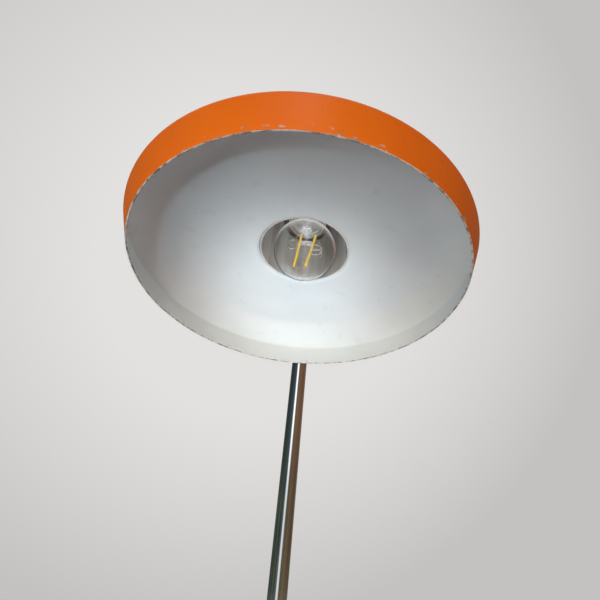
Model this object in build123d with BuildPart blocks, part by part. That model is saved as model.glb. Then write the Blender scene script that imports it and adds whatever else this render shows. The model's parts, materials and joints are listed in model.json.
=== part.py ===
# A desk lamp: a shallow dish shade on a bent tube that stands in a weighted round base.
# Millimetres, +Z up. The origin is the centre of the base's underside, and the shade faces -Y.
from build123d import *
import os

os.makedirs("parts", exist_ok=True)

# Clearances and fits
fit_gap = 0.05            # radial gap of pieces that are assembled and then stay put
running_gap = 0.05        # radial gap of a turning shaft in its bore
sliding_gap = 0.3         # radial gap of pieces that slide or screw through each other
face_gap = 0.3            # gap between faces that never press on each other

# Shade
rim_height = 290.0        # rim of the shade above the table
rim_radius = 110.0
shoulder_radius = 117.6   # skirt and flank meet here, before the bend takes the corner off
shoulder_rise = 20.2      # shoulder above the rim
roof_radius = 88.0        # nearly flat part of the roof
roof_rise = 33.0          # roof above the rim
shade_sheet = 1.2
shoulder_bend = 3.0
hole_radius = 32.0
collar_rise = 8.5         # upturned collar round the hole
collar_bend = 1.8
shade_screw_radius = 1.5
shade_screw_count = 3
shade_screw_head_radius = 2.8
shade_screw_head_height = 1.6

# Housing over the bulb
housing_clearance = 0.1   # housing's wall clear of the shade's collar
housing_height = 83.0
housing_lift = 0.6        # housing's lower edge above the roof's outside
housing_sheet = 0.6
housing_bend = 8.0
vent_radius = 2.5
vent_circle_radius = 21.0
vent_count = 8

# Reach and height of the arm
shade_reach = 132.0       # stem axis to shade axis
pivot_rise = 78.0         # tilt pivot above the rim
pivot_gap = 15.9          # tilt pivot behind the housing's wall

# Stem tube
tube_radius = 7.0
tube_wall = 1.0
tube_bend = 35.0          # bend radius on the tube's axis
lead_radius = 1.9         # lead inside the tube
lead_shift = 2.7          # how far the lead lies off the arm's axis at the knuckle
lead_bend = 4.0

# Knuckle between arm and head
knuckle_radius = 12.0
knuckle_half_width = 10.0
knuckle_wall = 1.5
knuckle_fillet = 1.2
stub_radius = 8.0
stub_length = 4.0
stub_clearance = 0.6      # stub clear of the other half's disc
plug_length = 18.0        # how far foot and knuckle reach into the tube
ring_thickness = 0.6      # friction ring between the halves
pivot_radius = 2.5
pivot_boss_wall = 1.5
pivot_head_radius = 5.5
pivot_head_height = 3.0
slot_width = 1.2
slot_depth = 1.4
tail_radius = 6.0         # threaded tail into the housing
tail_length = 4.8         # tail inside the housing
knuckle_nut_width = 17.0
knuckle_nut_height = 2.5

# Clamp knob
knob_washer_radius = 6.5
knob_washer_thickness = 0.8
knob_radius = 9.0
knob_length = 10.0
knob_end_wall = 2.0
knob_groove_radius = 1.2
knob_groove_count = 12
insert_radius = 4.0

# Bulb
globe_radius = 22.5
globe_rise = 35.0         # globe's centre above the rim
bulb_length = 78.0
glass_wall = 0.8
neck_radius = 12.0
neck_rise = 22.0          # straight neck starts this far above the globe's centre
neck_blend = 50.0         # angle on the globe where it turns into the neck
glass_seat = 4.0          # glass inside the cap
cap_radius = 13.1
cap_length = 26.0         # bulb cap without its insulator and contact
cap_sheet = 0.5
cap_top_radius = 7.0
cap_shoulder = 3.0
insulator_height = 2.2
contact_radius = 4.5
contact_height = 1.6
mount_radius = 4.0
flare_thickness = 0.8     # flared foot of the mount, fused into the neck
mount_tip_radius = 2.0
mount_tip_rise = 17.0     # tip of the glass mount above the globe's centre
filament_radius = 0.8
filament_length = 30.0
filament_spacing = 9.0
filament_lean = 8.0
wire_radius = 0.3
wire_cross_drop = 0.8     # where the wires meet, below the light strips' ends

# Lampholder
holder_radius = 18.0
holder_wall = 1.8
holder_drop = 28.0        # holder's skirt below the contact plane
holder_cap_rise = 19.0    # top of the holder above the contact plane
insert_plate = 6.0
shell_sheet = 0.5
leaf_thickness = 0.5
leaf_length = 18.0
leaf_width = 6.0
holder_screw_radius = 2.5
holder_screw_height = 4.0
holder_screw_spacing = 16.0
shell_recess = 3.0        # thread shell above the holder's rim
nipple_radius = 5.0
nipple_bore = 3.0
nipple_nut_width = 14.0
nipple_nut_height = 3.0
spacer_radius = 8.5
finial_radius = 8.0
finial_height = 8.0
finial_depth = 5.5
finial_fillet = 2.5

# Base
base_radius = 92.0
base_height = 36.0
base_flat_radius = 74.0   # flat middle of the base's top
skirt_height = 18.0
skirt_lift = 1.0          # skirt's lower edge above the table
cover_sheet = 1.2
felt_thickness = 2.0
felt_inset = 4.0
plate_thickness = 1.5
wiring_space = 6.5        # between base plate and weight
weight_radius = 80.0
weight_thickness = 14.0
weight_chamfer = 1.5
boss_radius = 18.0
post_radius = 6.0
post_circle_radius = 60.0
post_count = 3
plate_screw_radius = 2.0
plate_screw_head = 3.6
plate_screw_head_height = 1.5
plate_screw_length = 11.0

# Stem foot and its bearing
spindle_radius = 5.0
foot_flange_radius = 10.0
foot_flange_height = 3.0
collar_radius = 15.0
collar_height = 12.0
collar_fillet = 3.0
bush_wall = 2.0
swivel_washer_radius = 14.0
swivel_washer_thickness = 0.8
recess_radius = 12.8
recess_depth = 8.0
spring_washer_radius = 8.0
spring_washer_thickness = 1.2
stop_washer_radius = 8.5
stop_washer_thickness = 1.4
stop_tab_reach = 12.0
stop_tab_width = 3.0
stop_peg_width = 3.8
stop_peg_inner = 10.4
stem_nut_width = 17.0
stem_nut_height = 4.0
spindle_end = 0.5         # spindle below its nut

# Switch
switch_forward = 52.0     # switch in front of the stem's axis
switch_can_radius = 11.0
switch_can_height = 17.0
switch_space = 2.0        # weight clear of the switch
switch_neck_radius = 7.9
switch_neck_rise = 2.0    # neck above the base's top
switch_nut_height = 2.0
switch_nut_radius = 12.0
bezel_radius = 11.0
bezel_height = 2.5
button_radius = 5.3
button_rise = 4.5         # button above the neck
button_travel = 3.5
button_stem = 8.0         # part of the button that stays in the neck
button_fillet = 1.0
tab_length = 6.0
tab_width = 4.0
tab_thickness = 0.8
tab_spacing = 8.0

# Terminal block and leads in the base
block_back = 45.0         # block behind the stem's axis
block_length = 26.0
block_depth = 18.0
block_height = 12.0
block_pocket = 5.0
pole_spacing = 8.0
pole_rise = 7.2           # poles above the block's underside
block_hole_radius = 2.1
block_screw_radius = 1.6
block_screw_spacing = 10.0
block_screw_sink = 0.5
wire_lead_radius = 1.1
lead_detour = 24.0        # switch leads pass the boss at this distance
lead_straight = 5.0       # straight end of a lead before it bends
lead_entry = 2.0          # lead inside the terminal block
lead_way = 4.5            # radius of the lead's way up through the weight

# Cord inlet
grommet_height = 10.5     # grommet's axis above the table
grommet_bore = 3.6
grommet_neck = 5.3
grommet_flange = 6.1
grommet_flange_thickness = 1.5

# Levels and places that follow from the sizes above
housing_bottom = rim_height + roof_rise + housing_lift
housing_top = housing_bottom + housing_height
housing_radius = hole_radius - housing_clearance
pivot_z = rim_height + pivot_rise
pivot_y = -shade_reach + housing_radius + pivot_gap
ring_half = ring_thickness / 2
stub_start = knuckle_radius + stub_clearance
arm_end = pivot_y + stub_start + stub_length
tube_bore = tube_radius - tube_wall
plug_radius = tube_bore - fit_gap
lead_hole_radius = lead_radius + sliding_gap
pivot_hole_radius = pivot_radius + running_gap
pivot_boss_radius = pivot_radius + pivot_boss_wall
chamber_radius = knuckle_radius - knuckle_wall
chamber_side = knuckle_half_width - knuckle_wall
knob_start = knuckle_half_width + knob_washer_thickness
globe_z = rim_height + globe_rise
contact_z = globe_z - globe_radius + bulb_length
cap_top = contact_z - contact_height - insulator_height
cap_bottom = cap_top - cap_length
glass_top = cap_bottom + glass_seat
holder_bottom = contact_z - holder_drop
holder_top = contact_z + holder_cap_rise
leaf_z = contact_z + face_gap
insert_z = leaf_z + leaf_thickness
shell_radius = cap_radius + sliding_gap
plate_top = felt_thickness + plate_thickness
weight_bottom = plate_top + wiring_space
weight_top = weight_bottom + weight_thickness
cover_under = base_height - cover_sheet
bush_radius = spindle_radius + running_gap + bush_wall
recess_top = weight_bottom + recess_depth
stop_washer_top = recess_top - spring_washer_thickness
stem_nut_top = stop_washer_top - stop_washer_thickness
stem_nut_bottom = stem_nut_top - stem_nut_height
spindle_bottom = stem_nut_bottom - spindle_end
flange_z = base_height + swivel_washer_thickness
tube_start = flange_z + foot_flange_height
neck_top = base_height + switch_neck_rise
switch_can_top = cover_under - switch_nut_height
button_bottom = neck_top - button_stem
block_bottom = weight_top - block_pocket
pole_z = block_bottom + pole_rise
block_front = block_back - block_depth / 2
grommet_inner = base_radius - cover_sheet - face_gap - grommet_flange_thickness
grommet_outer = base_radius + grommet_flange_thickness
lead_rise_back = block_front - lead_bend - lead_entry
housing_inside = housing_radius - housing_sheet
holder_bore = holder_radius - holder_wall
plate_radius = base_radius - cover_sheet - face_gap

# Axes and planes. A profile plane has X to the right and Y up, and its normal is -Y.
shade_axis = Axis((0, -shade_reach, 0), (0, 0, 1))
stem_profile = Plane.XZ
shade_profile = Plane.XZ.offset(shade_reach)


def shade_level(height):
    """Horizontal plane at this height, centred on the shade's axis."""
    return Plane((0, -shade_reach, height))


def arm_plane(place):
    """Upright plane across the arm's axis at this Y; its normal points to the head."""
    return Plane(origin=(0, place, pivot_z), x_dir=(1, 0, 0), z_dir=(0, -1, 0))


def pivot_plane(place):
    """Upright plane across the pivot's axis at this X; its normal points to +X."""
    return Plane(origin=(place, pivot_y, pivot_z), x_dir=(0, 1, 0), z_dir=(1, 0, 0))


# Shade: one pressed sheet, drawn as its middle line and thickened by half the sheet to each side
half_sheet = shade_sheet / 2
collar_middle = hole_radius + half_sheet
roof_middle = rim_height + roof_rise - half_sheet
shade_screw_z = rim_height + roof_rise + collar_rise / 2
with BuildPart() as shade:
    with BuildSketch(shade_profile):
        with BuildLine() as dish:
            rim_point = (rim_radius, rim_height + half_sheet)
            shoulder_point = (shoulder_radius - half_sheet, rim_height + shoulder_rise)
            roof_point = (roof_radius, roof_middle)
            collar_foot = (collar_middle, roof_middle)
            collar_end = (collar_middle, roof_middle + collar_rise)
            Line(rim_point, shoulder_point)
            TangentArc(roof_point, shoulder_point, tangent=(1, 0))
            Line(roof_point, collar_foot)
            Line(collar_foot, collar_end)
            fillet(dish.vertices().sort_by(Axis.X)[-1], radius=shoulder_bend)
            collar_line = dish.vertices().sort_by(Axis.X).group_by(Axis.X)[0]
            fillet(collar_line.sort_by(Axis.Y)[0], radius=collar_bend)
            offset(amount=half_sheet, side=Side.BOTH)
        make_face()
    revolve(axis=shade_axis)
    with Locations(shade_level(shade_screw_z)):
        with PolarLocations(0, shade_screw_count, start_angle=90):
            Cylinder(shade_screw_radius + fit_gap, shoulder_radius, rotation=(0, 90, 0),
                     align=(Align.CENTER, Align.CENTER, Align.MIN), mode=Mode.SUBTRACT)
shade.part.label = "shade"
export_step(shade.part, "parts/shade.step")

# Housing: a deep-drawn cup, open below, with vent holes round its top
with BuildPart() as housing:
    with BuildSketch(shade_level(housing_bottom)):
        Circle(housing_radius)
    extrude(amount=housing_height)
    fillet(housing.faces().sort_by(Axis.Z)[-1].edges(), radius=housing_bend)
    offset(amount=-housing_sheet, openings=housing.faces().sort_by(Axis.Z)[0])
    with BuildSketch(shade_level(housing_top)):
        Circle(nipple_radius + fit_gap)
        with PolarLocations(vent_circle_radius, vent_count):
            Circle(vent_radius)
    extrude(amount=-2 * housing_sheet, mode=Mode.SUBTRACT)
    with BuildSketch(arm_plane(pivot_y)):
        Circle(tail_radius + fit_gap)
    extrude(amount=pivot_gap + housing_radius, mode=Mode.SUBTRACT)
    with Locations(shade_level(shade_screw_z)):
        with PolarLocations(0, shade_screw_count, start_angle=90):
            Cylinder(shade_screw_radius + fit_gap, shoulder_radius, rotation=(0, 90, 0),
                     align=(Align.CENTER, Align.CENTER, Align.MIN), mode=Mode.SUBTRACT)
housing.part.label = "housing"
export_step(housing.part, "parts/housing.step")

# Shade screws: from outside through the collar into the housing's wall
with BuildPart() as shade_screws:
    with Locations(shade_level(shade_screw_z)):
        with PolarLocations(hole_radius + shade_sheet, shade_screw_count, start_angle=90):
            Cylinder(shade_screw_head_radius, shade_screw_head_height, rotation=(0, 90, 0),
                     align=(Align.CENTER, Align.CENTER, Align.MIN))
            Cylinder(shade_screw_radius, hole_radius + shade_sheet - housing_inside, rotation=(0, 90, 0),
                     align=(Align.CENTER, Align.CENTER, Align.MAX))
shade_screws.part.label = "shade_screws"
export_step(shade_screws.part, "parts/shade_screws.step")

# Nipple, its nut, spacer and finial: they hang the lampholder from the housing's top
nipple_nut_top = holder_top - holder_wall
with BuildPart() as nipple:
    with BuildSketch(shade_level(nipple_nut_top - nipple_nut_height)):
        Circle(nipple_radius)
        Circle(nipple_bore, mode=Mode.SUBTRACT)
    extrude(amount=housing_top + finial_depth - face_gap - nipple_nut_top + nipple_nut_height)
nipple.part.label = "nipple"
export_step(nipple.part, "parts/nipple.step")

with BuildPart() as nipple_nut:
    with BuildSketch(shade_level(nipple_nut_top)):
        RegularPolygon(nipple_nut_width / 2, 6, major_radius=False)
        Circle(nipple_radius + fit_gap, mode=Mode.SUBTRACT)
    extrude(amount=-nipple_nut_height)
nipple_nut.part.label = "nipple_nut"
export_step(nipple_nut.part, "parts/nipple_nut.step")

with BuildPart() as nipple_spacer:
    with BuildSketch(shade_level(holder_top)):
        Circle(spacer_radius)
        Circle(nipple_radius + fit_gap, mode=Mode.SUBTRACT)
    extrude(amount=housing_top - housing_sheet - holder_top)
nipple_spacer.part.label = "nipple_spacer"
export_step(nipple_spacer.part, "parts/nipple_spacer.step")

with BuildPart() as finial:
    with BuildSketch(shade_level(housing_top)):
        Circle(finial_radius)
    extrude(amount=finial_height)
    fillet(finial.faces().sort_by(Axis.Z)[-1].edges(), radius=finial_fillet)
    with BuildSketch(shade_level(housing_top)):
        Circle(nipple_radius + fit_gap)
    extrude(amount=finial_depth, mode=Mode.SUBTRACT)
finial.part.label = "finial"
export_step(finial.part, "parts/finial.step")

# Lampholder: skirt, cap, ceramic insert, thread shell, contact leaf and terminal screws
insert_top = insert_z + insert_plate
lead_entry_z = (insert_top + nipple_nut_top - nipple_nut_height) / 2
with BuildPart() as lampholder_skirt:
    with BuildSketch(shade_level(holder_bottom)):
        Circle(holder_radius)
        Circle(holder_bore, mode=Mode.SUBTRACT)
    extrude(amount=insert_top - holder_bottom)
lampholder_skirt.part.label = "lampholder_skirt"
export_step(lampholder_skirt.part, "parts/lampholder_skirt.step")

with BuildPart() as lampholder_cap:
    with BuildSketch(shade_level(insert_top)):
        Circle(holder_radius)
    extrude(amount=holder_top - insert_top)
    fillet(lampholder_cap.faces().sort_by(Axis.Z)[-1].edges(), radius=holder_wall)
    with BuildSketch(shade_level(insert_top)):
        Circle(holder_bore)
    extrude(amount=holder_top - holder_wall - insert_top, mode=Mode.SUBTRACT)
    with BuildSketch(shade_level(holder_top)):
        Circle(nipple_radius + fit_gap)
    extrude(amount=-2 * holder_wall, mode=Mode.SUBTRACT)
    with BuildSketch(Plane(origin=(lead_shift, -shade_reach, lead_entry_z), z_dir=(0, 1, 0))):
        Circle(lead_hole_radius)
    extrude(amount=2 * holder_radius, mode=Mode.SUBTRACT)
lampholder_cap.part.label = "lampholder_cap"
export_step(lampholder_cap.part, "parts/lampholder_cap.step")

with BuildPart() as lampholder_insert:
    with BuildSketch(shade_level(insert_z)):
        Circle(holder_bore - fit_gap)
    extrude(amount=insert_plate)
lampholder_insert.part.label = "lampholder_insert"
export_step(lampholder_insert.part, "parts/lampholder_insert.step")

with BuildPart() as thread_shell:
    with BuildSketch(shade_level(holder_bottom + shell_recess)):
        Circle(shell_radius + shell_sheet)
        Circle(shell_radius, mode=Mode.SUBTRACT)
    extrude(amount=insert_z - holder_bottom - shell_recess)
thread_shell.part.label = "thread_shell"
export_step(thread_shell.part, "parts/thread_shell.step")

with BuildPart() as centre_contact:
    with BuildSketch(shade_level(leaf_z)):
        SlotOverall(leaf_length, leaf_width)
    extrude(amount=leaf_thickness)
centre_contact.part.label = "centre_contact"
export_step(centre_contact.part, "parts/centre_contact.step")

with BuildPart() as holder_screws:
    with BuildSketch(shade_level(insert_top)):
        with GridLocations(holder_screw_spacing, 0, 2, 1):
            Circle(holder_screw_radius)
    extrude(amount=holder_screw_height)
holder_screws.part.label = "holder_screws"
export_step(holder_screws.part, "parts/holder_screws.step")


# Bulb: a clear globe on a neck, with a screw cap
def glass_line(inset):
    """Half outline of the glass, drawn this far inside its outer face, from the tip to the neck's top."""
    globe = CenterArc((0, globe_z), globe_radius - inset, -90, 90 + neck_blend)
    neck_foot = (neck_radius - inset, globe_z + neck_rise)
    TangentArc(neck_foot, globe @ 1, tangent=(0, -1))
    neck = Line(neck_foot, (neck_radius - inset, glass_top))
    return globe @ 0, neck @ 1


with BuildPart() as bulb_glass:
    with BuildSketch(shade_profile):
        with BuildLine():
            outer_tip, outer_top = glass_line(0)
            inner_tip, inner_top = glass_line(glass_wall)
            Line(outer_tip, inner_tip)
            Line(outer_top, inner_top)
        make_face()
    revolve(axis=shade_axis)
bulb_glass.part.label = "bulb_glass"
export_step(bulb_glass.part, "parts/bulb_glass.step")

with BuildPart() as bulb_cap:
    with BuildSketch(shade_profile):
        with BuildLine():
            cap_outside = Polyline(
                (cap_radius, cap_bottom),
                (cap_radius, cap_top - cap_shoulder),
                (cap_top_radius, cap_top),
                (0, cap_top),
            )
            cap_inside = Polyline(
                (cap_radius - cap_sheet, cap_bottom),
                (cap_radius - cap_sheet, cap_top - cap_shoulder - cap_sheet),
                (cap_top_radius - cap_sheet, cap_top - cap_sheet),
                (0, cap_top - cap_sheet),
            )
            Line(cap_outside @ 0, cap_inside @ 0)
            Line(cap_outside @ 1, cap_inside @ 1)
        make_face()
    revolve(axis=shade_axis)
bulb_cap.part.label = "bulb_cap"
export_step(bulb_cap.part, "parts/bulb_cap.step")

with BuildPart() as bulb_insulator:
    with BuildSketch(shade_level(cap_top)):
        Circle(cap_top_radius)
    with BuildSketch(shade_level(cap_top + insulator_height)):
        Circle(contact_radius)
    loft()
bulb_insulator.part.label = "bulb_insulator"
export_step(bulb_insulator.part, "parts/bulb_insulator.step")

with BuildPart() as bulb_contact:
    with BuildSketch(shade_level(contact_z)):
        Circle(contact_radius)
    extrude(amount=-contact_height)
bulb_contact.part.label = "bulb_contact"
export_step(bulb_contact.part, "parts/bulb_contact.step")

# Glass mount inside the bulb, with its two light strips and the wires that hold them
mount_tip = globe_z + mount_tip_rise
flare_z = glass_top - flare_thickness
with BuildPart() as bulb_mount:
    with BuildSketch(shade_level(flare_z)):
        Circle(mount_radius)
    with BuildSketch(shade_level(mount_tip)):
        Circle(mount_tip_radius)
    loft()
    with BuildSketch(shade_level(flare_z)):
        Circle(neck_radius - glass_wall - fit_gap)
    extrude(amount=flare_thickness)
bulb_mount.part.label = "bulb_mount"
export_step(bulb_mount.part, "parts/bulb_mount.step")

with BuildPart() as bulb_filaments:
    with Locations(shade_level(globe_z)):
        with GridLocations(filament_spacing, 0, 2, 1):
            Cylinder(filament_radius, filament_length, rotation=(0, filament_lean, 0))
bulb_filaments.part.label = "bulb_filaments"
export_step(bulb_filaments.part, "parts/bulb_filaments.step")

strip_reach = Vector(0, 0, filament_length / 2 + wire_radius).rotate(Axis.Y, filament_lean)
globe_centre = Vector(0, -shade_reach, globe_z)
rod_start = Vector(0, -shade_reach, mount_tip)
rod_end = globe_centre - strip_reach - Vector(0, 0, wire_cross_drop)
wire_ends = [(rod_start, rod_end)]
for side in (-1, 1):
    strip_centre = globe_centre + Vector(side * filament_spacing / 2, 0, 0)
    lead_start = Vector(side * (mount_radius + wire_radius), -shade_reach, flare_z - wire_radius)
    wire_ends.append((lead_start, strip_centre + strip_reach))
    wire_ends.append((rod_end, strip_centre - strip_reach))
with BuildPart() as bulb_wires:
    for start, end in wire_ends:
        with BuildLine() as wire_line:
            Line(start, end)
        with BuildSketch(Plane(origin=start, z_dir=wire_line.line % 0)):
            Circle(wire_radius)
        sweep(path=wire_line.line)
bulb_wires.part.label = "bulb_wires"
export_step(bulb_wires.part, "parts/bulb_wires.step")

# Knuckle, arm half: a hollow disc with a neck on its own side and a stub that plugs into the tube
with BuildPart() as knuckle_arm_half:
    with BuildSketch(pivot_plane(-ring_half)):
        Circle(knuckle_radius)
    extrude(amount=ring_half - knuckle_half_width)
    fillet(knuckle_arm_half.faces().sort_by(Axis.X)[0].edges(), radius=knuckle_fillet)
    with BuildSketch(arm_plane(pivot_y + stub_start)):
        Circle(stub_radius)
        with Locations((-ring_half, 0)):
            Rectangle(stub_radius, 2 * stub_radius, align=(Align.MAX, Align.CENTER), mode=Mode.INTERSECT)
    extrude(amount=stub_start)
    with BuildSketch(arm_plane(arm_end)):
        Circle(stub_radius)
    extrude(amount=stub_length)
    with BuildSketch(arm_plane(arm_end)):
        Circle(plug_radius)
    extrude(amount=-plug_length)
    with BuildSketch(pivot_plane(-ring_half)):
        Circle(chamber_radius)
        Circle(pivot_boss_radius, mode=Mode.SUBTRACT)
    extrude(amount=ring_half - chamber_side, mode=Mode.SUBTRACT)
    with BuildSketch(arm_plane(arm_end + plug_length)):
        with Locations((-lead_shift, 0)):
            Circle(lead_hole_radius)
    extrude(amount=arm_end + plug_length - pivot_y - pivot_boss_radius, mode=Mode.SUBTRACT)
    with BuildSketch(pivot_plane(0)):
        Circle(pivot_hole_radius)
    extrude(amount=-2 * knuckle_half_width, mode=Mode.SUBTRACT)
knuckle_arm_half.part.label = "knuckle_arm_half"
export_step(knuckle_arm_half.part, "parts/knuckle_arm_half.step")

# Knuckle, head half: the same disc turned round, with a stub shaped to the housing and a threaded tail
tail_end = -shade_reach + housing_inside - tail_length
with BuildPart() as knuckle_head_half:
    with BuildSketch(pivot_plane(ring_half)):
        Circle(knuckle_radius)
    extrude(amount=knuckle_half_width - ring_half)
    fillet(knuckle_head_half.faces().sort_by(Axis.X)[-1].edges(), radius=knuckle_fillet)
    with BuildSketch(arm_plane(pivot_y)):
        Circle(stub_radius)
        with Locations((ring_half, 0)):
            Rectangle(stub_radius, 2 * stub_radius, align=(Align.MIN, Align.CENTER), mode=Mode.INTERSECT)
    extrude(amount=stub_start)
    with BuildSketch(arm_plane(pivot_y - stub_start)):
        Circle(stub_radius)
    extrude(amount=pivot_gap - stub_start + stub_length)
    with Locations(shade_level(pivot_z)):
        Cylinder(housing_radius, 4 * stub_radius, mode=Mode.SUBTRACT)
    with BuildSketch(arm_plane(pivot_y - stub_start)):
        Circle(tail_radius)
    extrude(amount=pivot_y - stub_start - tail_end)
    with BuildSketch(pivot_plane(ring_half)):
        Circle(chamber_radius)
        Circle(pivot_boss_radius, mode=Mode.SUBTRACT)
    extrude(amount=chamber_side - ring_half, mode=Mode.SUBTRACT)
    with BuildSketch(arm_plane(pivot_y - pivot_boss_radius)):
        with Locations((lead_shift, 0)):
            Circle(lead_hole_radius)
    extrude(amount=pivot_y - tail_end, mode=Mode.SUBTRACT)
    with BuildSketch(pivot_plane(0)):
        Circle(pivot_hole_radius)
    extrude(amount=2 * knuckle_half_width, mode=Mode.SUBTRACT)
knuckle_head_half.part.label = "knuckle_head_half"
export_step(knuckle_head_half.part, "parts/knuckle_head_half.step")

# Knuckle nut: a flat nut inside the round housing, whose corners touch the wall
nut_corner = knuckle_nut_width / 3 ** 0.5
nut_seat = -shade_reach + (housing_inside ** 2 - nut_corner ** 2) ** 0.5 - fit_gap
with BuildPart() as knuckle_nut:
    with BuildSketch(arm_plane(nut_seat)):
        RegularPolygon(knuckle_nut_width / 2, 6, major_radius=False)
        Circle(tail_radius + fit_gap, mode=Mode.SUBTRACT)
    extrude(amount=knuckle_nut_height)
knuckle_nut.part.label = "knuckle_nut"
export_step(knuckle_nut.part, "parts/knuckle_nut.step")

# Friction ring between the halves, pivot screw, washer, and the knob with its threaded insert
with BuildPart() as friction_ring:
    with BuildSketch(pivot_plane(-ring_half)):
        Circle(knuckle_radius)
        Circle(chamber_radius, mode=Mode.SUBTRACT)
    extrude(amount=ring_thickness)
friction_ring.part.label = "friction_ring"
export_step(friction_ring.part, "parts/friction_ring.step")

insert_end = knob_start + knob_length - knob_end_wall
with BuildPart() as pivot_screw:
    with BuildSketch(pivot_plane(-knuckle_half_width - pivot_head_height)):
        Circle(pivot_head_radius)
    extrude(amount=pivot_head_height)
    fillet(pivot_screw.faces().sort_by(Axis.X)[0].edges(), radius=pivot_head_height / 2)
    with BuildSketch(pivot_plane(-knuckle_half_width - pivot_head_height)):
        Rectangle(2 * pivot_head_radius, slot_width)
    extrude(amount=slot_depth, mode=Mode.SUBTRACT)
    with BuildSketch(pivot_plane(-knuckle_half_width)):
        Circle(pivot_radius)
    extrude(amount=knuckle_half_width + insert_end - face_gap)
pivot_screw.part.label = "pivot_screw"
export_step(pivot_screw.part, "parts/pivot_screw.step")

with BuildPart() as knob_washer:
    with BuildSketch(pivot_plane(knuckle_half_width)):
        Circle(knob_washer_radius)
        Circle(pivot_hole_radius, mode=Mode.SUBTRACT)
    extrude(amount=knob_washer_thickness)
knob_washer.part.label = "knob_washer"
export_step(knob_washer.part, "parts/knob_washer.step")

with BuildPart() as knob_insert:
    with BuildSketch(pivot_plane(knob_start)):
        Circle(insert_radius)
        Circle(pivot_hole_radius, mode=Mode.SUBTRACT)
    extrude(amount=knob_length - knob_end_wall)
knob_insert.part.label = "knob_insert"
export_step(knob_insert.part, "parts/knob_insert.step")

with BuildPart() as clamp_knob:
    with BuildSketch(pivot_plane(knob_start)):
        Circle(knob_radius)
        with PolarLocations(knob_radius, knob_groove_count):
            Circle(knob_groove_radius, mode=Mode.SUBTRACT)
    extrude(amount=knob_length)
    with BuildSketch(pivot_plane(knob_start)):
        Circle(insert_radius + fit_gap)
    extrude(amount=knob_length - knob_end_wall, mode=Mode.SUBTRACT)
clamp_knob.part.label = "clamp_knob"
export_step(clamp_knob.part, "parts/clamp_knob.step")

# Head lead: from the knuckle through the tail, up beside the lampholder and into its cap
lead_turn_y = tail_end - lead_bend
with BuildPart() as head_lead:
    with BuildLine() as head_route:
        FilletPolyline(
            (lead_shift, pivot_y - pivot_boss_radius - lead_bend, pivot_z),
            (lead_shift, lead_turn_y, pivot_z),
            (lead_shift, lead_turn_y, lead_entry_z),
            (lead_shift, -shade_reach + holder_bore - lead_bend, lead_entry_z),
            radius=lead_bend,
        )
    with BuildSketch(Plane(origin=head_route.line @ 0, z_dir=head_route.line % 0)):
        Circle(lead_radius)
    sweep(path=head_route.line)
head_lead.part.label = "head_lead"
export_step(head_lead.part, "parts/head_lead.step")

# Stem tube: upright, then a quarter bend to the arm
with BuildPart() as stem_tube:
    with BuildLine() as tube_route:
        FilletPolyline((0, 0, tube_start), (0, 0, pivot_z), (0, arm_end, pivot_z), radius=tube_bend)
    with BuildSketch(Plane.XY.offset(tube_start)):
        Circle(tube_radius)
        Circle(tube_bore, mode=Mode.SUBTRACT)
    sweep(path=tube_route.line)
stem_tube.part.label = "stem_tube"
export_step(stem_tube.part, "parts/stem_tube.step")

# Stem lead: up the spindle and the tube, drawn to one side to pass the knuckle's screw
shift_start = tube_start + 2 * plug_length
shift_end = shift_start + tube_bend
with BuildPart() as stem_lead:
    with BuildLine() as lead_route:
        FilletPolyline(
            (0, 0, spindle_bottom),
            (0, 0, shift_start),
            (-lead_shift, 0, shift_end),
            (-lead_shift, 0, pivot_z),
            (-lead_shift, pivot_y + pivot_boss_radius + lead_bend, pivot_z),
            radius=tube_bend,
        )
    with BuildSketch(Plane.XY.offset(spindle_bottom)):
        Circle(lead_radius)
    sweep(path=lead_route.line)
stem_lead.part.label = "stem_lead"
export_step(stem_lead.part, "parts/stem_lead.step")

# Stem foot: a plug in the tube, a flange that stands on the washer, and the spindle that turns in the bush
with BuildPart() as stem_foot:
    with BuildSketch(Plane.XY.offset(spindle_bottom)):
        Circle(spindle_radius)
    extrude(amount=flange_z - spindle_bottom)
    with BuildSketch(Plane.XY.offset(flange_z)):
        Circle(foot_flange_radius)
    extrude(amount=foot_flange_height)
    with BuildSketch(Plane.XY.offset(tube_start)):
        Circle(plug_radius)
    extrude(amount=plug_length)
    with BuildSketch(Plane.XY.offset(spindle_bottom)):
        Circle(lead_hole_radius)
    extrude(amount=tube_start + plug_length - spindle_bottom, mode=Mode.SUBTRACT)
stem_foot.part.label = "stem_foot"
export_step(stem_foot.part, "parts/stem_foot.step")

with BuildPart() as stem_collar:
    with BuildSketch(Plane.XY.offset(flange_z)):
        Circle(collar_radius)
    extrude(amount=collar_height)
    fillet(stem_collar.faces().sort_by(Axis.Z)[-1].edges(), radius=collar_fillet)
    with BuildSketch(Plane.XY.offset(flange_z)):
        Circle(foot_flange_radius + fit_gap)
    extrude(amount=foot_flange_height + fit_gap, mode=Mode.SUBTRACT)
    with BuildSketch(Plane.XY.offset(flange_z)):
        Circle(tube_radius + fit_gap)
    extrude(amount=collar_height, mode=Mode.SUBTRACT)
stem_collar.part.label = "stem_collar"
export_step(stem_collar.part, "parts/stem_collar.step")

# Under the weight: spring washer, stop washer with its tab, and nut, all turning with the stem
with BuildPart() as spring_washer:
    with BuildSketch(Plane.XY.offset(recess_top)):
        Circle(spring_washer_radius)
        Circle(spindle_radius + fit_gap, mode=Mode.SUBTRACT)
    extrude(amount=-spring_washer_thickness)
spring_washer.part.label = "spring_washer"
export_step(spring_washer.part, "parts/spring_washer.step")

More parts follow.
